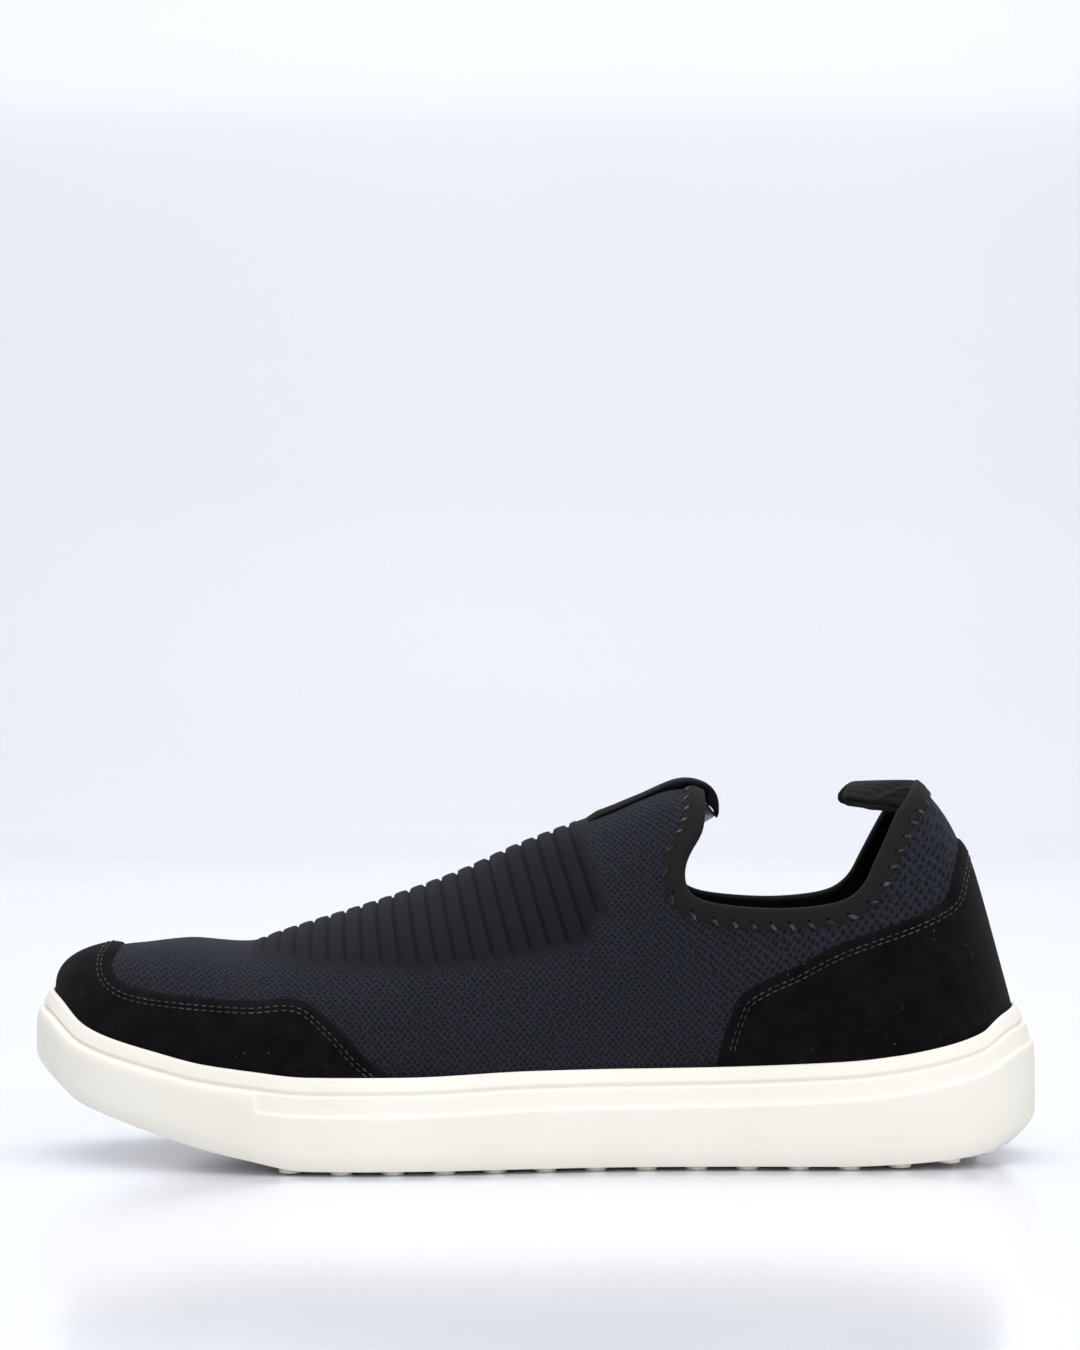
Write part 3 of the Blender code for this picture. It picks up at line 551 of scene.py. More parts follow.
FULLNESS = [
    # from_heel, lateral, medial
    (0.000, 2.60, 2.60),
    (0.060, 2.60, 2.60),
    (0.140, 2.80, 2.75),
    (0.250, 3.00, 2.90),
    (0.360, 2.40, 2.30),
    (0.480, 2.05, 1.95),
    (0.600, 2.05, 2.00),
    (0.720, 2.20, 2.20),
    (0.830, 2.50, 2.50),
    (0.920, 2.70, 2.70),
    (1.000, 2.75, 2.75),
]

# Height above the base at which the grooves between the ribs run out.
RIB_FEET = [
    # groove, height
    (0, 0.0598),
    (4, 0.0576),
    (9, 0.0567),
    (13, 0.0590),
    (16, 0.0619),
    (18, 0.0648),
    (19, 0.0718),
]

# The collar's edge seen from the side.
COLLAR_EDGE = [
    # from_heel, rise above the collar's low point, as a share of the way to instep_height
    (collar_front, 2.000),
    (collar_front, 1.200),
    (collar_front, 1.000),
    (collar_front, 0.840),
    (0.3350, 0.660),
    (0.3460, 0.500),
    (0.3525, 0.350),
    (0.3515, 0.200),
    (0.3420, 0.095),
    (0.3130, 0.030),
    (0.2547, 0.000),
    (0.2020, 0.055),
    (0.1785, 0.190),
    (0.1650, 0.420),
    (0.1406, 0.850),
    (0.1240, 1.020),
    (0.1120, 1.150),
    (0.1000, 1.400),
    (0.0900, 2.000),
]
edge_steps = 8

crest_at = smooth_table(CREST, 1)
instep_rise, heel_rise, medial_shift = [smooth_table(SECTIONS, k) for k in (1, 2, 3)]
lateral_fullness, medial_fullness = [smooth_table(FULLNESS, k) for k in (1, 2)]
rib_foot = smooth_table(RIB_FEET, 1)


def overlay_share(from_heel):
    """1 where suede lies between the knit and the cup, 0 along the middle."""
    return max(ease(from_heel, *guard_fade), 1.0 - ease(from_heel, *counter_fade))


def knit_foot(angle):
    """Where the knit leaves the cup: just inside the rim, and further in under the suede."""
    room = (overlay_thickness + clearance) * overlay_share(heel_share(angle))
    inset = cup_inset(angle) + clearance + room
    point = outline_point(angle) - outline_normal(angle) * inset
    point.z = rim_height(heel_share(angle))
    return point


def crest_point(from_heel):
    """Top of the last for the meridians that start at from_heel."""
    at = crest_at(from_heel)
    height = toe_box_height + (instep_height - toe_box_height) * instep_rise(at)
    height += heel_top_rise * heel_rise(at)
    return Vector((place_x(at), ball_width * medial_shift(at), tread_height + height))


def fullness(angle):
    from_heel = heel_share(angle)
    lateral, medial = lateral_fullness(from_heel), medial_fullness(from_heel)
    return mix(lateral, medial, 0.5 - 0.5 * math.sin(angle))


@functools.lru_cache(maxsize=None)
def meridian(angle):
    """Foot, crest, power and fan of the line up the last that starts at this angle."""
    from_heel = heel_share(angle)
    fan = max(ease(from_heel, *toe_fan), 1.0 - ease(from_heel, *heel_fan))
    return knit_foot(angle), crest_point(from_heel), 2.0 / fullness(angle), fan, from_heel > 0.5


def knit_point(angle, turn):
    """A point of the last: turn runs from 0 at the rim to pi / 2 at the crest."""
    foot, crest, power, fan, at_toe = meridian(angle)
    inward = 1.0 - max(math.cos(turn), 0.0) ** power
    upward = min(max(math.sin(turn), 0.0) ** power, 1.0)
    if at_toe:
        curl = 1.0 - (1.0 - upward ** toe_roundness) ** (1.0 / toe_roundness)
    else:
        curl = heel_slant * upward + (1.0 - heel_slant) * upward ** heel_roundness
    along = mix(upward, curl, fan)
    return Vector((mix(foot.x, crest.x, along), mix(foot.y, crest.y, inward),
                   mix(foot.z, crest.z, upward)))


def knit_normal(angle, turn):
    """The way the last faces there."""
    turn = min(max(turn, 0.02), 0.5 * math.pi - 0.02)
    along = knit_point(angle + 0.004, turn) - knit_point(angle - 0.004, turn)
    up = knit_point(angle, turn + 0.015) - knit_point(angle, turn - 0.015)
    return up.cross(along).normalized()


def skin_point(angle, turn, offset):
    """A point at a distance outside the last. Below the rim it goes straight down into the cup."""
    if turn >= 0.0:
        return knit_point(angle, turn) + knit_normal(angle, turn) * offset
    facing = knit_normal(angle, 0.0)
    facing.z = 0.0
    spot = knit_point(angle, 0.0) + facing.normalized() * offset
    spot.z += turn * cup_depth
    return spot


def side_edge(rows, low, high):
    """Points (x, z) of an edge drawn from the side, smoothed between its rows."""
    points = [Vector((place_x(a), tread_height + mix(low, high, b))) for a, b in rows]
    fine = []
    for i in range(len(points) - 1):
        p0, p1, p2, p3 = (points[max(i - 1, 0)], points[i], points[i + 1],
                          points[min(i + 2, len(points) - 1)])
        for k in range(edge_steps):
            t = k / edge_steps
            fine.append(0.5 * ((2.0 * p1) + (p2 - p0) * t
                               + (2.0 * p0 - 5.0 * p1 + 4.0 * p2 - p3) * t * t
                               + (3.0 * p1 - p0 - 3.0 * p2 + p3) * t ** 3))
    return fine + [points[-1]]


def shifted(edge, distance):
    """The edge moved sideways, to its left when looking along it."""
    moved = []
    for i, point in enumerate(edge):
        along = edge[min(i + 1, len(edge) - 1)] - edge[max(i - 1, 0)]
        moved.append(point + Vector((-along.y, along.x)).normalized() * distance)
    return moved


def halved(low, high, holds, times):
    """Narrows a range by halves round the place where a condition stops holding."""
    for _ in range(times):
        middle = 0.5 * (low + high)
        if holds(middle):
            low = middle
        else:
            high = middle
    return low, high


def crest_angle(place):
    """The angle whose meridian ends at this share of the length from the heel."""
    return 0.5 * sum(halved(0.0, math.pi, lambda a: crest_at(heel_share(a)) < place, 40))


def rib_state(angle, turn):
    """How ribbed the knit is there, how deep in a groove, and how far raised or sunk."""
    groove = (rib_front - crest_at(heel_share(angle)) * shoe_length) / rib_pitch
    if not -1.0 < groove < rib_count:
        return 0.0, 0.0, 0.0
    nearest = min(max(round(groove), 0), rib_count - 1)
    aside = abs(groove - nearest)
    height = knit_point(angle, max(turn, 0.0)).z - tread_height
    reach = ease(height, rib_foot(nearest) - 0.0005, rib_foot(nearest) + 0.0030)
    ribbed = ease(height, rib_foot(groove) - 0.0035, rib_foot(groove) + 0.0030)
    ribbed *= ease(groove, -1.0, -0.5) * (1.0 - ease(groove, rib_count - 0.5, rib_count))
    depth = max(1.0 - (aside * rib_pitch / (0.5 * rib_groove_width)) ** 2, 0.0) * reach
    crown = math.sin(math.pi * aside) * reach if aside <= 0.5 else 0.0
    return ribbed, depth, rib_crown * crown - rib_groove_depth * depth


# Soft creases where the knit gives, placed as in the side view.
CREASES = [
    # from_heel, height, slope, length, width, lift
    (0.792, 0.0640, 0.30, 0.020, 0.0060, -0.0008),
    (0.845, 0.0600, -0.20, 0.022, 0.0070, 0.0005),
    (0.420, 0.0480, 1.10, 0.030, 0.0080, -0.0004),
    (0.350, 0.0560, 0.90, 0.022, 0.0060, -0.0004),
    (0.220, 0.0800, 0.60, 0.020, 0.0060, -0.0003),
    (0.620, 0.0400, 0.20, 0.040, 0.0060, -0.0003),
]


def crease_lift(point):
    """Raises or sinks the knit along the creases."""
    lift = 0.0
    for from_heel, height, slope, length, width, size in CREASES:
        dx, dz = point.x - place_x(from_heel), point.z - tread_height - height
        lean = math.hypot(1.0, slope)
        along, aside = (dx + slope * dz) / lean, (dz - slope * dx) / lean
        if abs(along) < 2 * length and abs(aside) < 3 * width:
            lift += size * math.exp(-2.0 * (along / length) ** 2 - 2.0 * (aside / width) ** 2)
    return lift


cup_depth = 0.06
coarse_start, coarse_ramp, coarse_share = 0.030, 0.060, 0.66
# the columns stand 0.4 mm apart where the ribs are
rib_step = 0.00040
ribs_back = rib_front - rib_count * rib_pitch
ribs_low = crest_angle(ribs_back / shoe_length)
ribs_high = crest_angle((rib_front + rib_pitch) / shoe_length)
rib_steps = int((rib_count + 1) * rib_pitch / rib_step)
half = [crest_angle((ribs_back + k * rib_step) / shoe_length) for k in range(rib_steps + 1)]
half += [a for a in even_angles(300) if a < ribs_low - 0.003 or a > ribs_high + 0.003]
knit_columns = all_round(sorted(half))
knit_turns = [-0.12, -0.06] + [0.5 * math.pi * k / 84.0 for k in range(85)]


@functools.lru_cache(maxsize=None)
def meridian_lengths(angle):
    """Lengths up a meridian at even turns."""
    lengths = [0.0]
    points = [knit_point(angle, 0.5 * math.pi * k / 48.0) for k in range(49)]
    for p, q in zip(points, points[1:]):
        lengths.append(lengths[-1] + (q - p).length)
    return lengths


def length_at(angle, turn):
    place = min(max(turn / (0.5 * math.pi), 0.0) * 48.0, 47.999)
    k = int(place)
    lengths = meridian_lengths(angle)
    return mix(lengths[k], lengths[k + 1], place - k)


def turn_at(angle, length):
    """The turn at which a meridian has this length."""
    lengths = meridian_lengths(angle)
    length = min(max(length, 0.0), lengths[-1])
    k = min(bisect.bisect_right(lengths, length) - 1, 47)
    return 0.5 * math.pi * (k + (length - lengths[k]) / (lengths[k + 1] - lengths[k])) / 48.0


def knit_measure(columns, turns):
    """UV along the shoe and up the wall: in millimetres, with fewer to a length at the heel."""
    def measure(i, k):
        angle, turn = columns[i], turns[k]
        x = knit_point(angle, max(turn, 0.0)).x
        share = min(max((x - coarse_start) / coarse_ramp, 0.0), 1.0)
        lost = coarse_ramp * share ** 3 * (1.0 - 0.5 * share)
        lost += max(x - coarse_start - coarse_ramp, 0.0)
        wide = x - (1.0 - coarse_share) * lost
        high = length_at(angle, turn) * mix(1.0, coarse_share, ease(share, 0.0, 1.0))
        return 1000.0 * wide, 1000.0 * high
    return measure


def knit_place(i, k):
    angle, turn = knit_columns[i], knit_turns[k]
    lift = rib_state(angle, turn)[2] + crease_lift(knit_point(angle, max(turn, 0.0)))
    return skin_point(angle, turn, lift)


def trim_collar(bm):
    """Deletes the faces inside the collar and draws the cut edge onto its line."""
    line = shifted(collar_line, -2.0 * binding_lip)
    left, low = min(p.x for p in line), min(p.y for p in line)
    cut = set()
    for vert in bm.verts:
        if vert.co.x > left and vert.co.z > low and inside((vert.co.x, vert.co.z), line):
            cut.add(vert)
    gone = [f for f in bm.faces if all(v in cut for v in f.verts)]
    bmesh.ops.delete(bm, geom=gone, context="FACES")
    for vert in bm.verts:
        if vert in cut:
            spot = Vector((vert.co.x, vert.co.z))
            nearest = min(line, key=lambda p: (p - spot).length_squared)
            vert.co.x, vert.co.z = nearest.x, nearest.y


def flat_knit():
    """Polyester yarn in a mesh knit: matt, slightly fuzzy, with small dark holes."""
    material, tree, shader = new_material("knitted_polyester", 0.85, 0.16)
    shader.inputs["Sheen Weight"].default_value = 0.07
    shader.inputs["Sheen Roughness"].default_value = 0.72
    shader.inputs["Sheen Tint"].default_value = colour("8890A8")
    uv = add_node(tree, "UVMap", {"uv_map": "UVMap"}).outputs["UV"]
    # the yarn wanders by about 0.2 mm
    wander = add_node(tree, "TexNoise", {"Scale": 0.55, "Detail": 2.0}, {"Vector": uv})
    shift = add_node(tree, "VectorMath", {"operation": "MULTIPLY_ADD", 1: (0.9, 0.9, 0.0)},
                     {0: wander.outputs["Color"], 2: uv})
    # holes 1.9 mm apart along a row, in staggered rows 1.15 mm apart
    lattice = add_node(tree, "Mapping", {
        "Scale": (math.sqrt(2.0) / hole_pitch, math.sqrt(0.5) / hole_row, 1.0),
        "vector_type": "POINT"}, {"Vector": shift.outputs["Vector"]})
    turned = add_node(tree, "VectorRotate", {"rotation_type": "Z_AXIS", "Angle": math.pi / 4.0},
                      {"Vector": lattice.outputs["Vector"]})
    cells = add_node(tree, "TexVoronoi", {"voronoi_dimensions": "2D", "Scale": 1.0,
                                          "Randomness": 0.28}, {"Vector": turned.outputs["Vector"]})
    hole = add_node(tree, "MapRange", {"From Min": 0.19, "From Max": 0.43, "To Min": 1.0,
                                       "To Max": 0.0, "interpolation_type": "SMOOTHSTEP"},
                    {"Value": cells.outputs["Distance"]})
    ribbed = add_node(tree, "Attribute", {"attribute_name": "ribbed"}).outputs["Fac"]
    plain = add_node(tree, "Math", {"operation": "SUBTRACT", 0: 1.0}, {1: ribbed})
    holes = add_node(tree, "Math", {"operation": "MULTIPLY"},
                     {0: hole.outputs["Result"], 1: plain.outputs["Value"]})
    # single stitches about 0.45 mm wide
    stitch = add_node(tree, "TexNoise", {"Scale": 2.3, "Detail": 3.0, "Roughness": 0.65},
                      {"Vector": uv})
    yarn = add_node(tree, "ValToRGB", {"stops": ((0.34, "0B0D11"), (0.70, "292B35"))},
                    {"Fac": stitch.outputs["Fac"]})
    # painted shade: the grooves between the ribs are darkened by their depth, in the same
    # near-black as the holes, which are real
    groove = add_node(tree, "Attribute", {"attribute_name": "groove"}).outputs["Fac"]
    dark = add_node(tree, "Math", {"operation": "MAXIMUM"}, {0: holes.outputs["Value"], 1: groove})
    # the ribs are close-knitted and plain; their colour is darkened with painted shade, so that,
    # facing the light from above, they look no lighter than the rest of the knit
    rib_painted_shade = add_node(tree, "MapRange", {"To Max": 0.94}, {"Value": ribbed})
    body = add_node(tree, "Mix", {"data_type": "RGBA", "B": colour("07080A")},
                    {"Factor": rib_painted_shade.outputs["Result"], "A": yarn.outputs["Color"]})
    shade = add_node(tree, "Mix", {"data_type": "RGBA", "B": colour("030405")},
                     {"Factor": dark.outputs["Value"], "A": body.outputs["Result"]})
    tree.links.new(shade.outputs["Result"], shader.inputs["Base Color"])
    height = add_node(tree, "Math", {"operation": "MULTIPLY_ADD", 1: -1.0},
                      {0: holes.outputs["Value"], 2: stitch.outputs["Fac"]})
    bump = add_node(tree, "Bump", {"Strength": 0.65, "Distance": 0.0004},
                    {"Height": height.outputs["Value"]})
    tree.links.new(bump.outputs["Normal"], shader.inputs["Normal"])
    return material


hole_pitch = 1.9
hole_row = 1.15
collar_line = side_edge(COLLAR_EDGE, collar_low_height, instep_height)
# both marks also steer painted shade in the knit's colour: the darker ribs and the darker grooves
knit_marks = {"ribbed": lambda i, k: rib_state(knit_columns[i], knit_turns[k])[0],
              "groove": lambda i, k: rib_state(knit_columns[i], knit_turns[k])[1]}
bm = shaped_grid(len(knit_columns) - 1, len(knit_turns) - 1, knit_place,
                 knit_measure(knit_columns, knit_turns), knit_marks, flip=True)
bmesh.ops.remove_doubles(bm, verts=bm.verts, dist=0.00006)
trim_collar(bm)
join_shoe("knit_upper", bm, flat_knit(), "knit", "upper")

# Lining and insole
# A black brushed lining is glued inside the whole knit, and a footbed board covered in the same
# cloth lies loose on the sole's bed.
insole_thickness = 0.0040
lining_columns = all_round(even_angles(120))
lining_turns = [-0.10] + [0.5 * math.pi * k / 40.0 for k in range(41)]


def brushed_cloth():
    """Brushed black polyester: matt, with a short soft pile."""
    material, tree, shader = new_material("brushed_lining", 0.98, 0.02)
    spot = add_node(tree, "TexCoord").outputs["Object"]
    pile = add_node(tree, "TexNoise", {"Scale": 1600.0, "Detail": 4.0}, {"Vector": spot})
    shade = add_node(tree, "ValToRGB", {"stops": ((0.0, "030304"), (1.0, "060607"))},
                     {"Fac": pile.outputs["Fac"]})
    tree.links.new(shade.outputs["Color"], shader.inputs["Base Color"])
    bump = add_node(tree, "Bump", {"Strength": 0.4, "Distance": 0.0002},
                    {"Height": pile.outputs["Fac"]})
    tree.links.new(bump.outputs["Normal"], shader.inputs["Normal"])
    return material


cloth = brushed_cloth()
bm = shaped_grid(len(lining_columns) - 1, len(lining_turns) - 1,
                 lambda i, k: skin_point(lining_columns[i], lining_turns[k], -knit_wall),
                 knit_measure(lining_columns, lining_turns))
bmesh.ops.remove_doubles(bm, verts=bm.verts, dist=0.0001)
trim_collar(bm)
join_shoe("lining", bm, cloth, "insole_cloth")


def insole_place(i, k):
    """The board's edge is rounded, and its top follows the bed."""
    lift, inset, share = insole_levels[k]
    angle = lining_columns[i]
    edge = skin_point(angle, -0.01, -(knit_wall + clearance)) - outline_normal(angle) * inset
    spot = toward_spine(edge, share, 0.14, 0.84)
    at = heel_share(angle) if share == 0.0 else from_heel_at(spot.x)
    spot.z = bed_height(at) + clearance + lift
    return spot


# lift off the bed, inset of the edge, share of the way to the middle line
insole_levels = [(0.0, 0.0005, 1.0), (0.0, 0.0005, 0.5), (0.0, 0.0005, 0.0), (0.0008, 0.0, 0.0)]
insole_levels += [(insole_thickness - 0.0008, 0.0, 0.0), (insole_thickness - 0.0002, 0.0004, 0.0)]
insole_levels += [(insole_thickness, 0.0010, share) for share in (0.0, 0.1, 0.3, 0.6, 1.0)]
bm = shaped_grid(len(lining_columns) - 1, len(insole_levels) - 1, insole_place, flip=True)
join_shoe("insole_board", bm, cloth, "insole_cloth", "insole")

# Suede toe guard and heel counter
# Two pieces of near-black split suede, 1.2 mm thick, cut to shape, laid over the knit and sewn on
# with two rows of stitches inside their edge. Their lower edges go down into the cup.
overlay_tuck = 0.0030
pared_width = 0.0040
pared_share = 0.35
guard_back = 0.634
counter_front = 0.327
past_end = 0.05
TOE_GUARD_EDGE = [
    # from_heel, rise from sole_height to toe_box_height
    (0.9130, 1.300),
    (0.9150, 1.000),
    (0.9190, 0.880),
    (0.9140, 0.780),
    (0.8950, 0.700),
    (0.8550, 0.655),
    (0.7810, 0.618),
    (0.7480, 0.640),
    (0.7270, 0.630),
    (0.7090, 0.550),
    (0.6850, 0.370),
    (0.6640, 0.180),
    (0.6370, 0.000),
    (0.6200, -0.100),
]
COUNTER_EDGE = [
    # from_heel, rise from sole_height to collar_low_height
    (0.3260, -0.100),
    (0.3220, 0.060),
    (0.3170, 0.200),
    (0.3080, 0.360),
    (0.2990, 0.470),
    (0.2770, 0.560),
    (0.2480, 0.640),
    (0.2100, 0.762),
    (0.1700, 0.855),
    (0.1370, 0.925),
    (0.1090, 1.000),
    (0.0950, 1.060),
    (0.0890, 1.170),
    (0.0800, 1.320),
    (0.0690, 1.510),
    (0.0550, 1.535),
]


def leaving_turn(angle, region):
    """The turn at which a meridian leaves a region drawn from the side."""
    def within(turn):
        spot = knit_point(angle, turn)
        return inside((spot.x, spot.z), region)

    if not within(0.002):
        return 0.0
    turns = [0.5 * math.pi * k / 60.0 for k in range(61)]
    for low, high in zip(turns, turns[1:]):
        if not within(high):
            return halved(low, high, within, 12)[0]
    return 0.5 * math.pi


def split_suede():
    """Split suede: matt, near black, with a short nap and a little lint."""
    material, tree, shader = new_material("split_suede", 0.98, 0.05)
    shader.inputs["Sheen Weight"].default_value = 0.025
    shader.inputs["Sheen Roughness"].default_value = 0.6
    spot = add_node(tree, "TexCoord").outputs["Object"]
    # the nap lies in patches about 6 mm across
    nap = add_node(tree, "TexNoise", {"Scale": 160.0, "Detail": 4.0, "Roughness": 0.6},
                   {"Vector": spot})
    shade = add_node(tree, "ValToRGB", {"stops": ((0.35, "060607"), (0.75, "111113"))},
                     {"Fac": nap.outputs["Fac"]})
    # lint specks up to 0.5 mm across, here and there
    cells = add_node(tree, "TexVoronoi", {"Scale": 420.0, "Randomness": 1.0}, {"Vector": spot})
    speck = add_node(tree, "Math", {"operation": "LESS_THAN", 1: 0.10},
                     {0: cells.outputs["Distance"]})
    rare = add_node(tree, "SeparateColor", links={"Color": cells.outputs["Color"]})
    chosen = add_node(tree, "Math", {"operation": "GREATER_THAN", 1: 0.90},
                      {0: rare.outputs["Red"]})
    lint = add_node(tree, "Math", {"operation": "MULTIPLY"},
                    {0: speck.outputs["Value"], 1: chosen.outputs["Value"]})
    skin = add_node(tree, "Mix", {"data_type": "RGBA", "B": colour("4A4A4E")},
                    {"Factor": lint.outputs["Value"], "A": shade.outputs["Color"]})
    tree.links.new(skin.outputs["Result"], shader.inputs["Base Color"])
    # fibres about 0.3 mm long
    fibre = add_node(tree, "TexNoise", {"Scale": 3000.0, "Detail": 4.0, "Roughness": 0.7},
                     {"Vector": spot})
    bump = add_node(tree, "Bump", {"Strength": 0.5, "Distance": 0.00025},
                    {"Height": fibre.outputs["Fac"]})
    tree.links.new(bump.outputs["Normal"], shader.inputs["Normal"])
    return material


def overlay_grid(columns, region):
    """A skin from inside the cup up to the region's edge, which is pared thin and rounded."""
    ends = {a: length_at(a, leaving_turn(a, region)) for a in columns}
    edge_drops = [0.0011, 0.0007, 0.0004, 0.0002, 0.00006, 0.0]
    wall_rows, wall_drop = 44, 0.0018

    def reach(i, k):
        end = ends[columns[i]]
        if k >= wall_rows:
            return max(end - edge_drops[k - wall_rows], -overlay_tuck)
        return mix(-overlay_tuck, max(end - wall_drop, -overlay_tuck), k / (wall_rows - 1.0))

    def place(i, k):
        angle = columns[i]
        length = reach(i, k)
        share = min((ends[angle] - length) / edge_drops[0], 1.0)
        pared = mix(pared_share, 1.0, ease(ends[angle] - length, 0.0, pared_width))
        raised = overlay_thickness * pared * math.sqrt(max(1.0 - (1.0 - share) ** 2, 0.0))
        turn = turn_at(angle, length) if length > 0.0 else length / cup_depth
        return skin_point(angle, turn, raised + clearance * (2.0 * share - 1.0))

    rows = wall_rows + len(edge_drops) - 1
    return shaped_grid(len(columns) - 1, rows, place, flip=True)


def tuck_line(start, end):
    """A line just below the rim, from start to end along the shoe."""
    places = [mix(start, end, i / 40.0) for i in range(41)]
    return [Vector((place_x(p), rim_height(min(max(p, 0.0), 1.0)) - 2.0 * overlay_tuck))
            for p in places]


guard_edge = side_edge(TOE_GUARD_EDGE, sole_height, toe_box_height)
counter_edge = side_edge(COUNTER_EDGE, sole_height, collar_low_height)


def guard_region(distance):
    """The toe guard's outline from the side, with its upper edge moved in by a distance."""
    edge = shifted(guard_edge, -distance)
    ahead = 1.0 + past_end
    corner = Vector((place_x(ahead), edge[0].y))
    return [corner] + edge + tuck_line(TOE_GUARD_EDGE[-1][0], ahead)


def counter_region(distance):
    edge = shifted(counter_edge, -distance)
    corner = Vector((place_x(-past_end), edge[-1].y))
    return edge + [corner] + tuck_line(-past_end, COUNTER_EDGE[0][0])


suede = split_suede()
half = even_angles(430)
guard_start = angle_at(guard_back)
guard_columns = [a for a in all_round(half) if guard_start < a < math.tau - guard_start]
join_shoe("toe_guard_suede", overlay_grid(guard_columns, guard_region(0.0)), suede, "suede",
          "toe_guard")
counter_half = [a for a in half if a < angle_at(counter_front)]
counter_columns = [-a for a in reversed(counter_half[1:])] + counter_half
join_shoe("heel_counter_suede", overlay_grid(counter_columns, counter_region(0.0)), suede,
          "suede", "heel_counter")

# Stitches of the suede
# Two rows of black polyester thread, 0.4 mm thick, run 3 mm and 4.2 mm inside each suede edge,
# sewn by machine with about four stitches to the centimetre.
stitch_pitch = 0.0024
seam_insets = (0.0030, 0.0042)
thread_diameter = 0.0004


def sewing_thread():
    """Bonded polyester thread: dark, with a slight gloss that catches the light."""
    material, tree, shader = new_material("sewing_thread", 0.55, 0.5)
    spot = add_node(tree, "TexCoord").outputs["Object"]
    # the light varies from stitch to stitch, about 3 mm apart
    vary = add_node(tree, "TexNoise", {"Scale": 330.0, "Detail": 1.0}, {"Vector": spot})
    shade = add_node(tree, "ValToRGB", {"stops": ((0.4, "141416"), (0.7, "3E3F44"))},
                     {"Fac": vary.outputs["Fac"]})
    tree.links.new(shade.outputs["Color"], shader.inputs["Base Color"])
    return material


def add_stitch(bm, start, end, diameter):
    """One stitch: a short thread, thickest in its middle."""
    along = end - start
    turn = along.to_track_quat("X", "Z").to_matrix().to_4x4()
    size = Matrix.Diagonal((0.5 * along.length, 0.5 * diameter, 0.5 * diameter, 1.0))
    bmesh.ops.create_uvsphere(bm, u_segments=8, v_segments=5, radius=1.0,
                              matrix=Matrix.Translation(0.5 * (start + end)) @ turn @ size)


def walk(points, step):
    """Points at even steps along a line of points."""
    spots, carry = [points[0]], 0.0
    for p, q in zip(points, points[1:]):
        length = (q - p).length
        while carry + step <= length:
            carry += step
            spots.append(p.lerp(q, carry / length))
        carry -= length
    return spots


def seam_line(columns, region, offset):
    """Points on the skin where each meridian leaves a region."""
    line = []
    for angle in columns:
        turn = leaving_turn(angle, region)
        if turn > 0.0:
            line.append(skin_point(angle, turn, offset))
    return line


bm = bmesh.new()
on_suede = clearance + overlay_thickness
for inset in seam_insets:
    for columns, region in ((guard_columns, guard_region(inset)),
                            (counter_columns, counter_region(inset))):
        # a stitch covers three quarters of its pitch
        spots = walk(seam_line(columns, region, on_suede), stitch_pitch / 4.0)
        for k in range(0, len(spots) - 4, 4):
            add_stitch(bm, spots[k], spots[k + 3], thread_diameter)
join_shoe("suede_stitches", bm, sewing_thread(), "suede", weld=0.000001)

# Collar binding
# An elastic knitted tape, about 15 mm wide, is folded over the raw edge of the knit all round the
# opening and sewn down with a zigzag stitch along its lower edge.
binding_width = 0.0064
binding_thickness = 0.0010
band_step = 0.0005
band_rows = 18
path_step = 0.00045
path_passes, normal_passes, row_passes = 24, 20, 2
collar_front_row, collar_heel_row = 3, 14

bm = shaped_grid(360, 96, lambda i, k: knit_point(math.tau * i / 360.0, 0.5 * math.pi * k / 96.0),
                 flip=True)
last_surface = BVHTree.FromBMesh(bm)
bm.free()


def cast(origin, direction):
    """Where a ray from inside the shoe meets the knit's outer face."""
    return last_surface.ray_cast(Vector(origin), Vector(direction))[0]


def collar_path():
    """The collar's edge as a closed line on the last, from the front down the lateral side."""
    start, end = collar_front_row * edge_steps, collar_heel_row * edge_steps
    front, heel = collar_line[start], collar_line[end]
    heel_way = collar_line[end + 2 * edge_steps] - heel
    edge = walk(collar_line[start:end + 1], path_step)
    lateral, medial = [[cast((point.x, 0.0, point.y), (0.0, side, 0.0)) for point in edge]
                       for side in (-1.0, 1.0)]

    def over(start, end, origin, direction):
        count = int(abs(end - start) / path_step)
        return [cast((origin.x, mix(start, end, k / count), origin.y), direction)
                for k in range(1, count)]

    path = list(lateral)
    path += over(lateral[-1].y, medial[-1].y, heel, (heel_way.x, 0.0, heel_way.y))
    path += list(reversed(medial))
    path += over(medial[0].y, lateral[0].y, front, (0.0, 0.0, 1.0))
    return [p for p in path if p is not None]


def soften(rows, passes):
    """Evens out a closed run of vectors."""
    for _ in range(passes):
        rows = [(rows[i - 1] + rows[i] * 2.0 + rows[(i + 1) % len(rows)]) / 4.0
                for i in range(len(rows))]
    return rows


def collar_band():
    """Rows of points and normals on the last, at even distances outside the collar's edge."""
    path = collar_path()
    path = soften(walk(path + [path[0]], path_step), path_passes)
    count = len(path)
    tangents = [(path[(i + 1) % count] - path[i - 1]).normalized() for i in range(count)]
    found = [last_surface.find_nearest(p) for p in path]
    points, normals = [[f[0] for f in found]], [soften([f[1] for f in found], normal_passes)]
    ways = [t.cross(n).normalized() for t, n in zip(tangents, normals[0])]
    over_opening = Vector((path[0].x + 0.03, 0.0, 0.1))
    outwards = sum(w.dot(p - over_opening) for w, p in zip(ways, path))
    if outwards < 0.0:
        ways = [-w for w in ways]
    for _ in range(band_rows):
        found = [last_surface.find_nearest(p + w * band_step) for p, w in zip(points[-1], ways)]
        spots = soften([f[0] for f in found], row_passes)
        ways = soften([(q - p).normalized() for p, q in zip(points[-1], spots)], row_passes)
        ways = [w.normalized() for w in ways]
        points.append(spots)
        normals.append(soften([f[1] for f in found], normal_passes))
    return points, normals


band_points, band_normals = collar_band()
band_count = len(band_points[0])


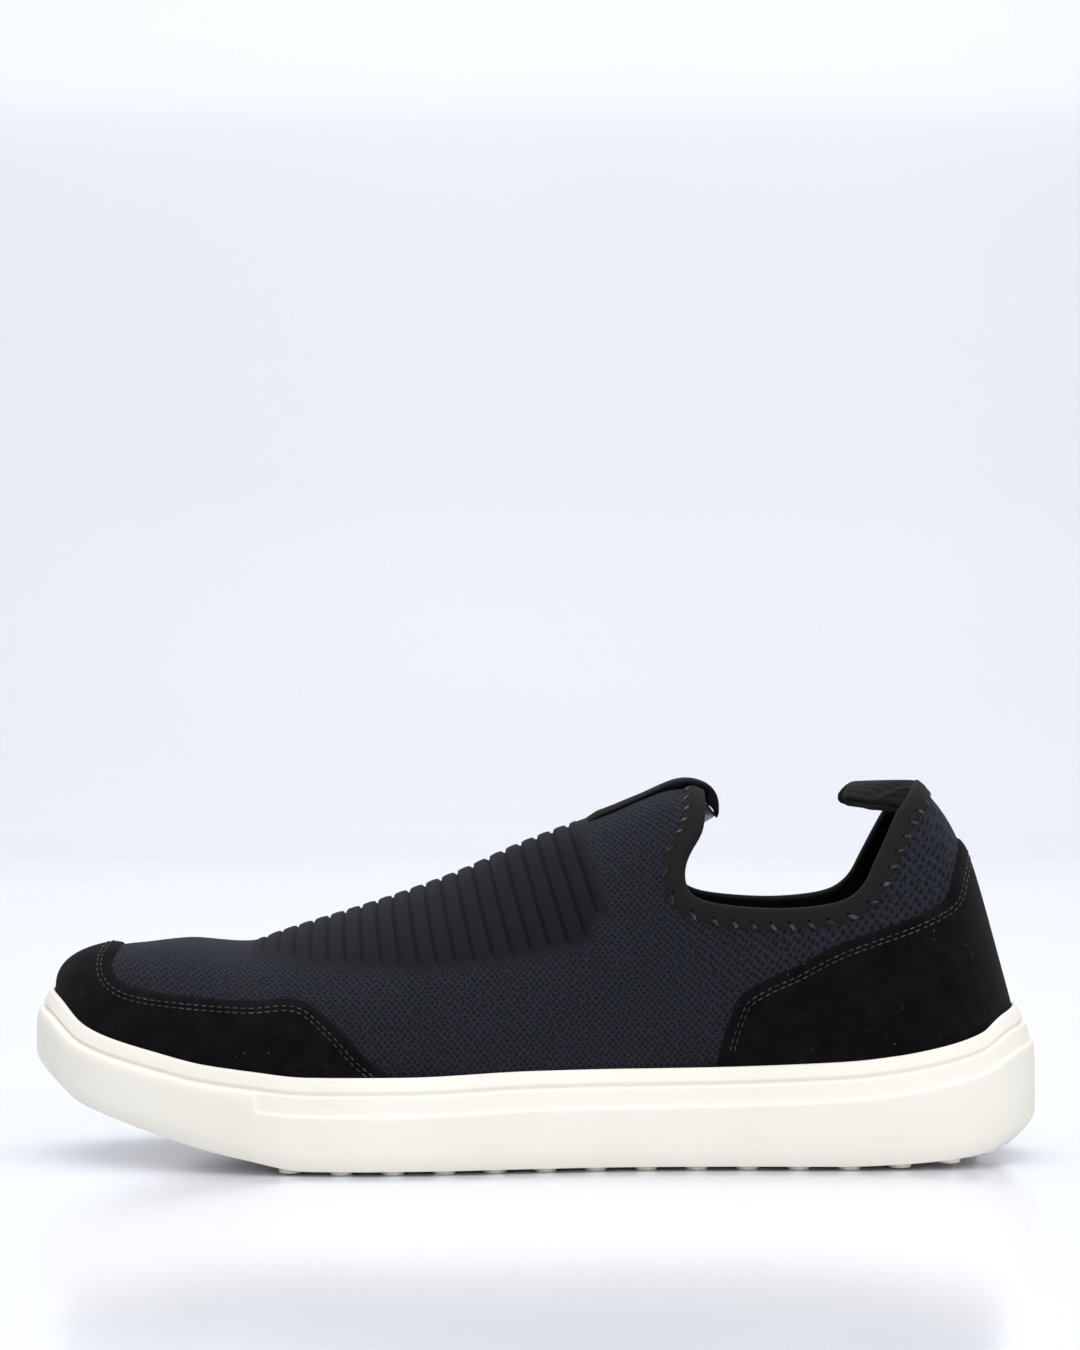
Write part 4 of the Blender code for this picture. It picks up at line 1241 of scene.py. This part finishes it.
def band_at(place, distance, offset):
    """A point at a distance outside the collar's edge, raised off the knit."""
    i, k = int(place) % band_count, min(int(distance / band_step), band_rows - 1)
    j, across, along = (i + 1) % band_count, distance / band_step - k, place - int(place)
    spot = band_points[k][i].lerp(band_points[k + 1][i], across)
    spot = spot.lerp(band_points[k][j].lerp(band_points[k + 1][j], across), along)
    normal = band_normals[k][i].lerp(band_normals[k][j], along).normalized()
    return spot + normal * offset


def elastic_tape(period):
    """Elastic polyester tape: warm charcoal and finely ribbed, with near-black painted shade on the
    face that turns inside the opening towards the foot.
    """
    material, tree, shader = new_material("elastic_tape", 0.88, 0.08)
    shader.inputs["Sheen Weight"].default_value = 0.03
    shader.inputs["Sheen Roughness"].default_value = 0.5
    uv = add_node(tree, "UVMap", {"uv_map": "UVMap"}).outputs["UV"]
    # ribs 1 mm apart
    ribs = add_node(tree, "TexWave", {"Scale": 0.31, "Distortion": 1.2, "Detail": 2.0,
                                      "bands_direction": "Y"}, {"Vector": uv})
    fuzz = add_node(tree, "TexNoise", {"Scale": 3.0, "Detail": 4.0, "Roughness": 0.7},
                    {"Vector": uv})
    both = add_node(tree, "Math", {"operation": "MULTIPLY_ADD", 1: 0.10},
                    {0: ribs.outputs["Fac"], 2: fuzz.outputs["Fac"]})
    shade = add_node(tree, "ValToRGB", {"stops": ((0.30, "141312"), (0.85, "262524"))},
                     {"Fac": both.outputs["Value"]})
    # a needle hole, about 0.8 mm wide, at each tick of the zigzag
    parts = add_node(tree, "SeparateXYZ", links={"Vector": uv})
    along = add_node(tree, "Math", {"operation": "PINGPONG", 1: 0.5 * period},
                     {0: parts.outputs["X"]})
    across = add_node(tree, "Math", {"operation": "SUBTRACT", 1: needle_line},
                      {0: parts.outputs["Y"]})
    place = add_node(tree, "CombineXYZ", links={"X": along.outputs["Value"],
                                                "Y": across.outputs["Value"]})
    reach = add_node(tree, "VectorMath", {"operation": "LENGTH"}, {0: place.outputs["Vector"]})
    hole = add_node(tree, "MapRange", {"From Min": 0.28, "From Max": 0.50, "To Min": 1.0,
                                       "To Max": 0.0}, {"Value": reach.outputs["Value"]})
    # painted shade: the tape's face inside the opening is mixed to near black
    inner_face_painted_shade = add_node(tree, "Attribute", {"attribute_name": "inner"}).outputs["Fac"]
    dark = add_node(tree, "Math", {"operation": "MAXIMUM"},
                    {0: hole.outputs["Result"], 1: inner_face_painted_shade})
    skin = add_node(tree, "Mix", {"data_type": "RGBA", "B": colour("030303")},
                    {"Factor": dark.outputs["Value"], "A": shade.outputs["Color"]})
    tree.links.new(skin.outputs["Result"], shader.inputs["Base Color"])
    bump = add_node(tree, "Bump", {"Strength": 0.4, "Distance": 0.0003},
                    {"Height": both.outputs["Value"]})
    tree.links.new(bump.outputs["Normal"], shader.inputs["Normal"])
    return material


# The seam presses the tape's lower edge down.
PRESSED_EDGE = [
    # millimetres in from the edge, height as a share of the tape's
    (0.00, -0.15),
    (0.00, 0.15),
    (0.15, 0.32),
    (0.40, 0.46),
    (0.80, 0.55),
    (1.30, 0.66),
    (1.90, 0.82),
    (2.50, 0.94),
]
flat_start = 0.0031
fold_start = 0.0018


def tape_section():
    """Distance from the edge and offset from the knit, round the fold from outside to inside."""
    outer, inner = clearance + binding_thickness, -(knit_wall + clearance + binding_thickness)
    rows = [(binding_width - mm / 1000.0, share * outer) for mm, share in PRESSED_EDGE]
    rows += [(mix(binding_width - flat_start, fold_start, k / 6.0), outer) for k in range(7)]
    middle, half_wall = 0.5 * (outer + inner), 0.5 * (outer - inner)
    for k in range(1, 12):
        turn = math.pi * k / 12.0
        rows.append((binding_lip * (1.0 - math.sin(turn)), middle + half_wall * math.cos(turn)))
    rows += [(mix(fold_start, binding_width - 0.0008, k / 6.0), inner) for k in range(7)]
    rows += [(binding_width - 0.0002, 0.5 * (inner - knit_wall)), (binding_width, -knit_wall)]
    return rows


section = tape_section()
section_reach = [0.0]
for (d0, h0), (d1, h1) in zip(section, section[1:]):
    section_reach.append(section_reach[-1] + 1000.0 * math.hypot(d1 - d0, h1 - h0))
zigzag_step = 0.0026
stitch_count = int(band_count * path_step / zigzag_step / 2.0) * 2
# the painted shade on the tape's inside fades in over these rows of the section, round the fold
needle_row, inner_shade_rows = 6, (18.0, 22.0)
needle_line = section_reach[needle_row]
tick_pitch = 2000.0 * band_count * path_step / stitch_count
bm = shaped_grid(band_count, len(section) - 1, lambda i, k: band_at(i, *section[k]),
                 lambda i, k: (1000.0 * path_step * i, section_reach[k]),
                 {"inner": lambda i, k: ease(k, *inner_shade_rows)})
bmesh.ops.remove_doubles(bm, verts=bm.verts, dist=0.00002)
bmesh.ops.recalc_face_normals(bm, faces=bm.faces)
join_shoe("binding_tape", bm, elastic_tape(tick_pitch), "binding_tape", "collar_binding")


def overlock_thread():
    """Fluffy textured polyester thread, mid grey, so that the zigzag shows."""
    material, tree, shader = new_material("overlock_thread", 0.8, 0.3)
    spot = add_node(tree, "TexCoord").outputs["Object"]
    vary = add_node(tree, "TexNoise", {"Scale": 420.0, "Detail": 2.0}, {"Vector": spot})
    shade = add_node(tree, "ValToRGB", {"stops": ((0.38, "222225"), (0.66, "6C6C70"))},
                     {"Fac": vary.outputs["Fac"]})
    tree.links.new(shade.outputs["Color"], shader.inputs["Base Color"])
    return material


# The legs of the zigzag that show are ticks across the tape's lower edge, down to the knit. Each
# is two strands that lie loosely side by side.
strand_gap = 0.22
strand_diameter = 0.00030
tick_top = (binding_width - 0.0014, 0.0012)
tick_foot = (binding_width + 0.0005, 0.0004)
bm = bmesh.new()
for k in range(0, stitch_count, 2):
    for strand in (0.0, strand_gap):
        start = band_at((k + strand) * band_count / stitch_count, *tick_top)
        end = band_at((k + 0.5 + strand) * band_count / stitch_count, *tick_foot)
        add_stitch(bm, start, end, strand_diameter)
join_shoe("binding_zigzag", bm, overlock_thread(), "binding_tape", weld=0.000001)

# Tongue tab
# A smooth strip of dark synthetic leather along the top of the instep. It covers the front of the
# binding and curls down inside the opening, where a bare woven size patch is sewn.
tab_width = 0.0180
tab_thickness = 0.0010
tab_crown = 0.0010
tab_length = 0.0350
tab_nose_reach = 0.0052
tab_nose_drop = 0.0066
tab_tail_drop = 0.0038
tab_tail_return = 0.0010
tab_raise = binding_thickness + clearance
strip_pad = 0.0026
tip_thinning = 0.88
crown_fade = (0.0030, 0.0130)
raise_fade = (0.0060, 0.0180)
flush_rows = (-2.0, 8.0)
strip_across, top_rows, nose_rows, tail_rows = 24, 68, 16, 8
bend_start, bend_passes = 30, 40


def crest_surface(place, aside):
    """A point of the upper near its crest, at a place along the shoe and a way to the side."""
    from_heel = heel_share(crest_angle(place))
    crest = crest_point(from_heel)
    side = angle_at(from_heel)
    angle = side if aside < 0.0 else math.tau - side
    foot = knit_foot(angle)
    share = 1.0 - abs(aside) / abs(foot.y - crest.y)
    power = fullness(angle)
    upward = (1.0 - (1.0 - share) ** power) ** (1.0 / power)
    return Vector((mix(foot.x, crest.x, upward), crest.y + aside, mix(foot.z, crest.z, upward)))


def crest_normal(place, aside):
    along = crest_surface(place - 0.004, aside) - crest_surface(place + 0.004, aside)
    across = crest_surface(place, aside + 0.0012) - crest_surface(place, aside - 0.0012)
    return along.cross(across).normalized()


def strip_lift(behind):
    """How far the strip's top is raised to clear the tape, at a distance behind its fold."""
    crown = tab_crown * (1.0 - ease(behind, *crown_fade))
    return tab_raise * (1.0 - ease(behind, *raise_fade)) + crown


def there_and_back(i, across):
    """Column, and its share of half the width, on the way over a flat piece and back under it."""
    column = i if i <= across else 2 * across - i
    return column, math.sin(math.pi * (column / across - 0.5))


def tab_rows():
    """Rows of points on top of the strip, and the way it faces, from its toe end to its tip."""
    across = [0.5 * tab_width * there_and_back(k, strip_across)[1]
              for k in range(strip_across + 1)]
    rows = []
    for i in range(top_rows + 1):
        behind = tab_length * (1.0 - i / top_rows)
        place = collar_front + behind / shoe_length
        # the strip starts flush with the knit, under the last rib
        above = tab_thickness * ease(i, *flush_rows) + strip_lift(behind)
        skin = [(crest_surface(place, y), crest_normal(place, y)) for y in across]
        rows.append([(p + n * above, n) for p, n in skin])
    last = rows[-1][strip_across // 2][0] - rows[-2][strip_across // 2][0]
    fall = math.atan2(-last.z, last.x)
    edge = [p for p, n in rows[-1]]
    for k in range(1, nose_rows + 1):
        turn = mix(fall, 0.5 * math.pi, k / nose_rows)
        ahead = tab_nose_reach * (math.sin(turn) - math.sin(fall))
        down = tab_nose_drop * (math.cos(fall) - math.cos(turn))
        facing = Vector((math.sin(turn) / tab_nose_reach, 0.0, math.cos(turn) / tab_nose_drop))
        rows.append([(p + Vector((ahead, 0.0, -down)), facing.normalized()) for p in edge])
    nose = [p for p, n in rows[-1]]
    for k in range(1, tail_rows + 1):
        share = k / tail_rows
        back = tab_tail_return * share * share
        facing = Vector((tab_tail_drop, 0.0, -2.0 * tab_tail_return * share)).normalized()
        rows.append([(p - Vector((back, 0.0, tab_tail_drop * share)), facing) for p in nose])
    # evens out the bend over the tape
    for _ in range(bend_passes):
        for k in range(bend_start, len(rows) - 4):
            rows[k] = [((a[0] + 2.0 * b[0] + c[0]) / 4.0, b[1])
                       for a, b, c in zip(rows[k - 1], rows[k], rows[k + 1])]
    return rows


def coated_strip():
    """Synthetic leather with a smooth matt coat."""
    material, tree, shader = new_material("coated_strip", 0.72, 0.08)
    spot = add_node(tree, "TexCoord").outputs["Object"]
    grain = add_node(tree, "TexNoise", {"Scale": 1900.0, "Detail": 3.0}, {"Vector": spot})
    shade = add_node(tree, "ValToRGB", {"stops": ((0.0, "06070A"), (1.0, "0C0D12"))},
                     {"Fac": grain.outputs["Fac"]})
    tree.links.new(shade.outputs["Color"], shader.inputs["Base Color"])
    bump = add_node(tree, "Bump", {"Strength": 0.3, "Distance": 0.0002},
                    {"Height": grain.outputs["Fac"]})
    tree.links.new(bump.outputs["Normal"], shader.inputs["Normal"])
    return material


strip_rows = tab_rows()


def strip_place(i, k):
    """Round the strip's section: over its top from side to side, and back underneath."""
    column, aside = there_and_back(i, strip_across)
    point, facing = strip_rows[k][column]
    full = math.sqrt(max(1.0 - abs(aside) ** 16, 0.0))
    sunk = 0.5 - 0.5 * full if i <= strip_across else 0.5 + 0.5 * full
    behind = tab_length * max(1.0 - k / top_rows, 0.0)
    # its underside lies on the tape and, behind the tape, on the knit
    on_tape = 1.0 - ease(behind, binding_width - 0.0004, binding_width + 0.0010)
    depth = tab_thickness + strip_lift(behind) - tab_raise * on_tape
    # its fold is padded out to the tape, and thins to the tip
    depth += strip_pad * ease(k, top_rows, top_rows + 10)
    thinned = mix(0.2, 1.0, ease(k, *flush_rows))
    thinned *= 1.0 - tip_thinning * ease(k, top_rows + 11, len(strip_rows) - 1)
    return point - facing * depth * sunk * thinned


def close_ends(bm):
    """Closes a flat piece's section and its two ends, and turns its faces outwards."""
    bmesh.ops.remove_doubles(bm, verts=bm.verts, dist=0.00001)
    bmesh.ops.holes_fill(bm, edges=[e for e in bm.edges if e.is_boundary], sides=0)
    bmesh.ops.recalc_face_normals(bm, faces=bm.faces)


bm = shaped_grid(2 * strip_across, len(strip_rows) - 1, strip_place)
close_ends(bm)
join_shoe("tongue_strip", bm, coated_strip(), "tab_strip", "tongue_tab")

# Heel pull loop
# Ribbed charcoal webbing, 18 mm wide, folded double and sewn into the back of the collar. It
# arches forwards over the opening.
loop_width = 0.0180
loop_thickness = 0.0013
loop_gap = 0.0008
loop_reach = 0.0150
loop_setback = 0.0017
loop_droop = 0.0040
loop_root_droop = 1.8
loop_lean = 0.90
loop_nod = 0.0004
loop_root_place = 0.1240
loop_root_rise = 1.034
strap_rib_pitch = 0.0011
strap_rib_height = 0.00005
strap_pinch = 0.22
pinch_width = 0.46
crease_depth = 0.0016
crease_width = 0.13
crease_start = 0.34
crease_spread = 0.95


def loop_path():
    """The folded strap's middle line: how far it reaches and how high it lies."""
    half_fold = 0.5 * (loop_gap + loop_thickness)
    nose = loop_reach - half_fold
    # the upper layer runs on over the tape to the heel's top, where it is sewn down
    path = [(-0.0062, half_fold - 0.0014), (-0.0045, half_fold - 0.0003), (-0.0025, half_fold)]
    path += [(nose * k / 20.0, half_fold) for k in range(20)]
    path += [(nose + half_fold * math.sin(math.pi * k / 16.0),
              half_fold * math.cos(math.pi * k / 16.0)) for k in range(17)]
    return path + [(nose * (1.0 - k / 20.0), -half_fold) for k in range(1, 21)]


strap_path = loop_path()
strap_across = 36


def strap_place(i, k):
    """Round the strap's section: along its outer face, and back along its inner face."""
    reach, lift = strap_path[k]
    before, after = strap_path[max(k - 1, 0)], strap_path[min(k + 1, len(strap_path) - 1)]
    way = Vector((after[0] - before[0], after[1] - before[1])).normalized()
    aside = there_and_back(i, strap_across)[1]
    full = math.sqrt(max(1.0 - abs(aside) ** 14, 0.0))
    rib = strap_rib_height * math.cos(math.pi * aside * loop_width / strap_rib_pitch)
    out = (0.5 * loop_thickness * full + rib) * (1.0 if i <= strap_across else -1.0)
    point = Vector((reach, lift)) + Vector((-way.y, way.x)) * out
    share = max(point.x / loop_reach, 0.0)
    # a crease runs from the root down each side, and the strap is pinched below it
    crease_line = crease_start + crease_spread * share
    crease = math.exp(-((abs(aside) - crease_line) / crease_width) ** 2)
    crease *= 1.0 - ease(share, 0.35, 0.7)
    below = ease(abs(aside), crease_line, crease_line + pinch_width)
    droop = loop_droop * abs(aside) ** 2.3 * mix(loop_root_droop, 1.0, share)
    droop += crease_depth * crease
    lean = loop_lean * loop_droop * share * (abs(aside) ** 1.5 - 0.2 * aside ** 10)
    y = 0.5 * loop_width * aside * (1.0 - strap_pinch * below)
    root_x = place_x(loop_root_place) - clearance - loop_setback
    root_z = tread_height + mix(collar_low_height, instep_height, loop_root_rise)
    nod = loop_nod * share ** 2
    return Vector((root_x - point.x - lean, y, root_z + point.y - nod - droop))


def ribbed_webbing():
    """Woven polyester webbing: fine ribs along its length, about as dark as the tape."""
    material, tree, shader = new_material("ribbed_webbing", 0.85, 0.08)
    shader.inputs["Sheen Weight"].default_value = 0.05
    uv = add_node(tree, "UVMap", {"uv_map": "UVMap"}).outputs["UV"]
    # warp ribs 1.5 mm apart
    ribs = add_node(tree, "TexWave", {"Scale": 0.21, "Distortion": 0.4, "Detail": 1.0,
                                      "bands_direction": "X"}, {"Vector": uv})
    fuzz = add_node(tree, "TexNoise", {"Scale": 3.2, "Detail": 3.0, "Roughness": 0.65},
                    {"Vector": uv})
    both = add_node(tree, "Math", {"operation": "MULTIPLY_ADD", 1: 0.4},
                    {0: ribs.outputs["Fac"], 2: fuzz.outputs["Fac"]})
    shade = add_node(tree, "ValToRGB", {"stops": ((0.30, "101011"), (1.00, "252525"))},
                     {"Fac": both.outputs["Value"]})
    tree.links.new(shade.outputs["Color"], shader.inputs["Base Color"])
    bump = add_node(tree, "Bump", {"Strength": 0.6, "Distance": 0.0003},
                    {"Height": both.outputs["Value"]})
    tree.links.new(bump.outputs["Normal"], shader.inputs["Normal"])
    return material


def strap_measure(i, k):
    return 500.0 * loop_width * there_and_back(i, strap_across)[1], 0.9 * k


bm = shaped_grid(2 * strap_across, len(strap_path) - 1, strap_place, strap_measure)
close_ends(bm)
join_shoe("pull_loop", bm, ribbed_webbing(), "webbing", "heel_loop")

# Size patch
# A small folded ribbon of woven polyester, light grey and left bare, is sewn inside the throat
# behind the tab, on the medial side. Its fold bulges towards the heel.
patch_length, patch_depth, patch_thickness = 0.0057, 0.0042, 0.0003
patch_side, patch_slant = 0.0006, 0.0056
patch_rise, patch_setback = 0.0033, 0.0003
fold_place, fold_above, fold_below = 0.58, 0.0024, 0.0039


def patch_place(i, k):
    """Slants across the throat, so that it faces the heel and the outer side."""
    tip = strip_rows[-1][strip_across // 2][0]
    across, down = i / 12.0, k / 10.0
    # its fold comes nearest to the heel at fold_place of the way down
    fold = fold_above * max(1.0 - down / fold_place, 0.0)
    fold += fold_below * max(down - fold_place, 0.0) / (1.0 - fold_place)
    reach = fold + patch_depth * (1.0 - across) - patch_setback
    return Vector((tip.x - reach, patch_side + patch_slant * across,
                   tip.z + patch_rise - patch_length * down))


def woven_patch():
    """Woven satin ribbon: light grey, with a fine weave."""
    material, tree, shader = new_material("woven_patch", 0.6)
    spot = add_node(tree, "TexCoord").outputs["Object"]
    weave = add_node(tree, "TexNoise", {"Scale": 2200.0, "Detail": 2.0}, {"Vector": spot})
    shade = add_node(tree, "ValToRGB", {"stops": ((0.0, "D2D4DA"), (1.0, "F2F3F6"))},
                     {"Fac": weave.outputs["Fac"]})
    tree.links.new(shade.outputs["Color"], shader.inputs["Base Color"])
    return material


bm = shaped_grid(12, 10, patch_place)
bmesh.ops.solidify(bm, geom=bm.faces, thickness=patch_thickness)
bmesh.ops.recalc_face_normals(bm, faces=bm.faces)
join_shoe("size_patch", bm, woven_patch(), "tab_strip")

# Floor, light and camera
# A pale glossy studio sweep, a large soft light above, a fill from the front and a wash on the
# wall. A level camera looks at the outer side of the shoe, 1.1 m from its middle.
floor_front, floor_depth, floor_width = -2.2, 3.0, 5.0
sweep_radius, wall_height = 1.2, 3.2
flat_rows, curve_rows, upright_rows = 10, 20, 6


def sweep_place(i, k):
    """A floor that curves up into a wall far behind the shoe."""
    x = mix(-0.5, 0.5, i / 8.0) * floor_width
    flat_end = floor_depth - sweep_radius
    if k <= flat_rows:
        return Vector((x, mix(floor_front, flat_end, k / flat_rows), 0.0))
    k -= flat_rows
    if k <= curve_rows:
        turn = 0.5 * math.pi * k / curve_rows
        return Vector((x, flat_end + sweep_radius * math.sin(turn),
                       sweep_radius * (1.0 - math.cos(turn))))
    k -= curve_rows
    return Vector((x, floor_depth, mix(sweep_radius, wall_height, k / upright_rows)))


def studio_board():
    """Glossy white acrylic board with a faint blue cast."""
    material, tree, shader = new_material("white_acrylic_board", 0.16, 0.4)
    spot = add_node(tree, "TexCoord").outputs["Object"]
    haze = add_node(tree, "TexNoise", {"Scale": 2.0, "Detail": 1.0}, {"Vector": spot})
    shade = add_node(tree, "ValToRGB", {"stops": ((0.0, "DFE1E6"), (1.0, "E3E5EA"))},
                     {"Fac": haze.outputs["Fac"]})
    tree.links.new(shade.outputs["Color"], shader.inputs["Base Color"])
    return material


bm = shaped_grid(8, flat_rows + curve_rows + upright_rows, sweep_place)
floor = add_piece("studio_sweep", bm, studio_board())


def add_light(name, place, aim, width, height, power):
    """A soft rectangular light that looks at a point of the shoe."""
    light = bpy.data.lights.new(name, "AREA")
    light.shape = "RECTANGLE"
    light.size, light.size_y, light.energy = width, height, power
    lamp = bpy.data.objects.new(name, light)
    lamp.location = place
    lamp.rotation_euler = (Vector(aim) - Vector(place)).to_track_quat("-Z", "Y").to_euler()
    bpy.context.scene.collection.objects.link(lamp)


add_light("top_softbox", (0.0, -0.1, 1.5), (0.0, 0.0, 0.0), 2.2, 1.8, 25.0)
add_light("front_softbox", (0.6, -2.0, 0.9), (0.0, 0.0, 0.05), 1.6, 1.2, 16.0)
add_light("wall_wash", (0.0, 1.0, 2.4), (0.0, 3.0, 0.8), 3.0, 1.0, 39.0)

world = bpy.data.worlds.new("studio")
bpy.context.scene.world = world
world.use_nodes = True
background = world.node_tree.nodes["Background"]
background.inputs["Color"].default_value = colour("EDEFF6")
background.inputs["Strength"].default_value = 0.56
bpy.context.scene.view_settings.view_transform = "Standard"

camera_data = bpy.data.cameras.new("side_camera")
camera_data.sensor_fit = "VERTICAL"
camera_data.sensor_height = 36.0
camera_data.lens = 97.83
camera_data.clip_start, camera_data.clip_end = 0.05, 20.0
camera = bpy.data.objects.new("side_camera", camera_data)
camera.location = (0.00165, -1.1, 0.1437)
camera.rotation_euler = (math.radians(90.0), 0.0, 0.0)
bpy.context.scene.collection.objects.link(camera)
bpy.context.scene.camera = camera

bpy.context.view_layer.update()
